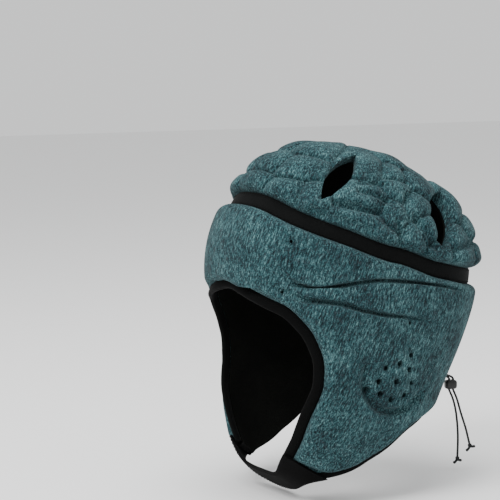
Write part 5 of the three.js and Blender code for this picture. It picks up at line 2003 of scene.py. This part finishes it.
@dataclass
class Lacing:
    """The lace through the slit's loops, its lock, and the two free ends with their knots."""

    chart: HeadChart
    loops: LoopSizes
    diameter: float = 1.8
    crossing: float = 1.3
    loop_room: float = 1.0
    lock_room: float = 1.5
    # how deep in the lock the lace ends and the free ends start
    lace_depth: float = 0.6
    end_depth: float = 0.3
    lace_places: int = 260
    end_places: int = 36
    lock_length: float = 10.0
    lock_width: float = 7.6
    lock_height: float = 7.5
    lock_sides: int = 40
    lock_rows: int = 18
    lock_squareness: float = 0.55
    lock_rounding: float = 0.45
    lock_hole: float = 2.6
    lock_hole_reach: float = 9.0
    lock_spread: float = 3.4
    knot: float = 4.2
    knot_steps: int = 72
    cord_sides: int = 10
    tail: float = 2.3

    def mouth(self, side: int) -> np.ndarray:
        """Returns the middle of one of the lock's two holes."""
        axis = np.array([math.sin(LOCK_TURN), math.cos(LOCK_TURN), 0])
        return np.array(LOCK_PLACE) + axis * side * self.lock_spread / 2

    def cord(self, name: str, points: np.ndarray, finishes: Finishes, *nodes: str) -> bpy.types.Object:
        """Makes a round cord as a curve.

        Args:
            name: The object's name.
            points: The cord's middle line in millimetres.
            finishes: The cap's finishes.
            nodes: The solids that the cord stands for.

        Returns:
            The cord's object.
        """
        curve = bpy.data.curves.new(name, "CURVE")
        curve.dimensions = "3D"
        curve.bevel_depth = self.diameter / 2 * METRES
        curve.bevel_resolution = 4
        curve.use_fill_caps = True
        spline = curve.splines.new("POLY")
        spline.points.add(len(points) - 1)
        spline.points.foreach_set("co", np.column_stack([points * METRES, np.ones(len(points))]).ravel())
        obj = bpy.data.objects.new(name, curve)
        bpy.context.scene.collection.objects.link(obj)
        curve.materials.append(finishes.by_slot[Slot.CORD])
        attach(obj, "root")
        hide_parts(*nodes)
        LOG.info("%s: %.0f mm", name, path_length(points))
        return obj

    def strand(self, first_side: int, hole: int) -> list:
        """Returns the points of one strand, from the top loop down into the lock.

        Args:
            first_side: 1 where the top loop is on the left, or -1.
            hole: Which of the lock's holes it runs into, 1 or -1.

        Returns:
            The points.
        """
        chart, layers = self.chart, self.chart.layers
        height = layers.rim_top + (self.loops.height - self.loops.wall) / 2
        reach = self.loops.length / 2 + self.loop_room
        beside = layers.rim_middle
        points = []
        for k, share in enumerate(LOOP_DROPS):
            side = first_side if k % 2 == 0 else -first_side
            drop = share * chart.head.whole
            for offset in (-reach, reach):
                points.append(chart.on_rear(side * beside, drop + offset, height))
            if k + 1 < len(LOOP_DROPS):
                next_drop = (share + LOOP_DROPS[k + 1]) / 2 * chart.head.whole
                rise = first_side * self.crossing * (1 if k % 2 == 0 else -1)
                points.append(chart.on(1.0, next_drop, height + rise))
        mouth = self.mouth(hole)
        z = LOCK_PLACE[2]
        above, below = mouth.copy(), mouth.copy()
        above[2] = z + self.lock_height / 2 + self.lock_room
        below[2] = z - self.lock_height / 2 + self.lace_depth
        return points + [above, mouth, below]

    def build(self, finishes: Finishes) -> None:
        """Makes the cords, the lock and the knots.

        Args:
            finishes: The cap's finishes.
        """
        long, short = self.strand(1, -1), self.strand(-1, 1)
        self.cord("crossed_lace", smooth_path(long[::-1] + short, self.lace_places), finishes, "rear_lace")
        self.build_lock(finishes)
        ends = (
            ("long", LONG_ROUTE, LONG_TAILS, -1),
            ("short", SHORT_ROUTE, SHORT_TAILS, 1),
        )
        for name, route, tails, hole in ends:
            start = self.mouth(hole)
            start[2] = LOCK_PLACE[2] - self.lock_height / 2 + self.end_depth
            places = [start] + [np.add(LOCK_PLACE, step) for step in route]
            points = smooth_path(places, self.end_places)
            obj = self.cord("lace_tail_" + name, points, finishes, "lace_end_" + name)
            knot = self.build_knot(name, points, tails, finishes)
            path_length(points) * METRES

    def build_lock(self, finishes: Finishes) -> None:
        """Makes the rounded block with its two cord holes.

        Args:
            finishes: The cap's finishes.
        """
        turns = np.arange(self.lock_sides) * 2 * np.pi / self.lock_sides
        power = self.lock_squareness
        rows = []
        for turn in np.linspace(-np.pi / 2, np.pi / 2, self.lock_rows + 1):
            size = max(abs(math.cos(turn)), 1e-3) ** self.lock_rounding
            z = signed_power(np.sin(turn), power) * self.lock_height / 2
            x = signed_power(np.cos(turns), power) * self.lock_length / 2 * size
            y = signed_power(np.sin(turns), power) * self.lock_width / 2 * size
            rows.append(np.stack([x, y, np.full_like(x, z)], -1))
        points, faces = loft(np.array(rows))
        angle = math.pi / 2 - LOCK_TURN
        cos, sin = math.cos(angle), math.sin(angle)
        spin = np.array([[cos, sin, 0], [-sin, cos, 0], [0, 0, 1]])
        lock = Piece("slide_lock", points @ spin + np.array(LOCK_PLACE), faces, sharp=50)
        circle = np.stack([np.cos(turns), np.sin(turns), 0 * turns], -1) * self.lock_hole / 2
        ends = np.array([[0, 0, -self.lock_hole_reach], [0, 0, self.lock_hole_reach]])
        holes = []
        for side in (1, -1):
            ring = self.mouth(side) + circle
            holes.append(loft(np.stack([ring + end for end in ends])))
        lock.cut(*joined(holes))
        finishes.dress(lock, Slot.PLASTIC, "cord_lock")

    def build_knot(
        self, name: str, path: np.ndarray, tails: Sequence[tuple], finishes: Finishes,
    ) -> bpy.types.Object:
        """Makes a tied knot with two splayed tails at the end of a cord.

        Args:
            name: The cord end's word in the names of pieces.
            path: The cord's middle line.
            tails: How far each tail reaches from the knot.
            finishes: The cap's finishes.

        Returns:
            The knot's object.
        """
        along = unit(path[-1] - path[-2])
        middle = path[-1] + along * (0.3 + self.knot / 2)
        aside = unit(np.cross(along, [1.0, 0.2, 0.1]))
        other = np.cross(along, aside)
        turn = np.linspace(0, 2 * np.pi, self.knot_steps + 1)
        wide = (self.knot - self.diameter) / 4
        u = np.sin(turn) + 2 * np.sin(2 * turn)
        v = np.cos(turn) - 2 * np.cos(2 * turn)
        w = -np.sin(3 * turn)
        loops = middle + wide * (u[:, None] * aside * 0.8 + w[:, None] * other + v[:, None] * along * 0.75)
        radius = self.diameter / 2
        entry = path[-1] - along * 0.4 + np.linspace(0, 1, 8)[:, None] * (middle - path[-1])
        parts = [tube(loops, radius, self.cord_sides), tube(entry, radius, self.cord_sides)]
        for tail in tails:
            reach = np.array(tail)
            share = np.linspace(0, 1, 12)
            radii = self.tail / 2 * (0.8 + 0.25 * share)
            radii[-1] *= 0.75
            bend = np.sin(share * np.pi)[:, None] * np.array([0.35, 0, -0.35])
            parts.append(tube(middle + share[:, None] * reach + bend, radii))
        knot = Piece("lace_knot_tied_" + name, *joined(parts), sharp=50)
        finishes.dress(knot, Slot.CORD, "lace_knot_" + name)
        return knot.obj


@dataclass
class Studio:
    """The camera at three quarters from the left, soft lights and a pale floor."""

    place: tuple = (1.16196, -0.75459, 0.07614)
    target: tuple = (-0.04334, -0.05378, -0.07641)
    up: tuple = (-0.12049, 0.07825, 0.98963)
    lens: float = 128.0
    floor: float = -0.262
    floor_half: float = 6.0
    aim: tuple = (0.0, 0.0, -0.12)
    lights: tuple = (
        # name, place, size, power
        ("key", (0.5, -1.4, 1.3), 0.8, 34.0),
        ("top", (0.1, -0.1, 1.5), 1.0, 22.0),
        ("rear fill", (1.2, 1.3, 0.6), 1.2, 2.5),
    )

    def build(self) -> None:
        """Makes the camera, the lights, the floor and the surroundings."""
        scene = bpy.context.scene
        camera = bpy.data.objects.new("camera", bpy.data.cameras.new("camera"))
        camera.data.lens = self.lens
        camera.data.sensor_width = 36.0
        back = (Vector(self.place) - Vector(self.target)).normalized()
        right = Vector(self.up).cross(back).normalized()
        turn = Matrix((right, back.cross(right), back)).transposed()
        camera.matrix_world = Matrix.Translation(self.place) @ turn.to_4x4()
        scene.collection.objects.link(camera)
        scene.camera = camera
        for name, place, size, power in self.lights:
            light = bpy.data.lights.new(name, "AREA")
            light.size = size
            light.energy = power
            obj = bpy.data.objects.new(name, light)
            obj.location = place
            obj.rotation_euler = (Vector(self.aim) - Vector(place)).to_track_quat("-Z", "Y").to_euler()
            scene.collection.objects.link(obj)
        shader = Shader("pale studio floor")
        material = shader.finish(base_color=linear_colour("#f1f1f1"), roughness=0.9, specular_ior_level=0.1)
        mesh = bpy.data.meshes.new("floor")
        half = self.floor_half
        signs = ((-1, -1), (1, -1), (1, 1), (-1, 1))
        corners = [(x * half, y * half, self.floor) for x, y in signs]
        mesh.from_pydata(corners, [], [(0, 1, 2, 3)])
        mesh.materials.append(material)
        floor = bpy.data.objects.new("floor", mesh)
        scene.collection.objects.link(floor)
        world = bpy.data.worlds.new("soft studio")
        world.use_nodes = True
        background = world.node_tree.nodes["Background"]
        background.inputs["Color"].default_value = linear_colour("#f7f8f8")
        background.inputs["Strength"].default_value = 1.0
        scene.world = world


def main() -> None:
    """Builds the studio and then each part of the cap."""
    logging.basicConfig(level=logging.INFO, format="%(message)s")
    Studio().build()
    finishes = Finishes()
    chart = HeadChart(HeadSizes(), Layers())
    loops = LoopSizes()
    Lacing(chart, loops).build(finishes)
    stitches = StitchRows()
    wrap = Wrap(chart)
    Crown(chart).build(finishes)
    wrap.build(finishes)
    Edging(chart, wrap, loops).build(finishes, stitches)
    ChinStrap(chart, wrap).build(finishes, stitches)


if __name__ == "__main__":
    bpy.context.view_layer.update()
    main()
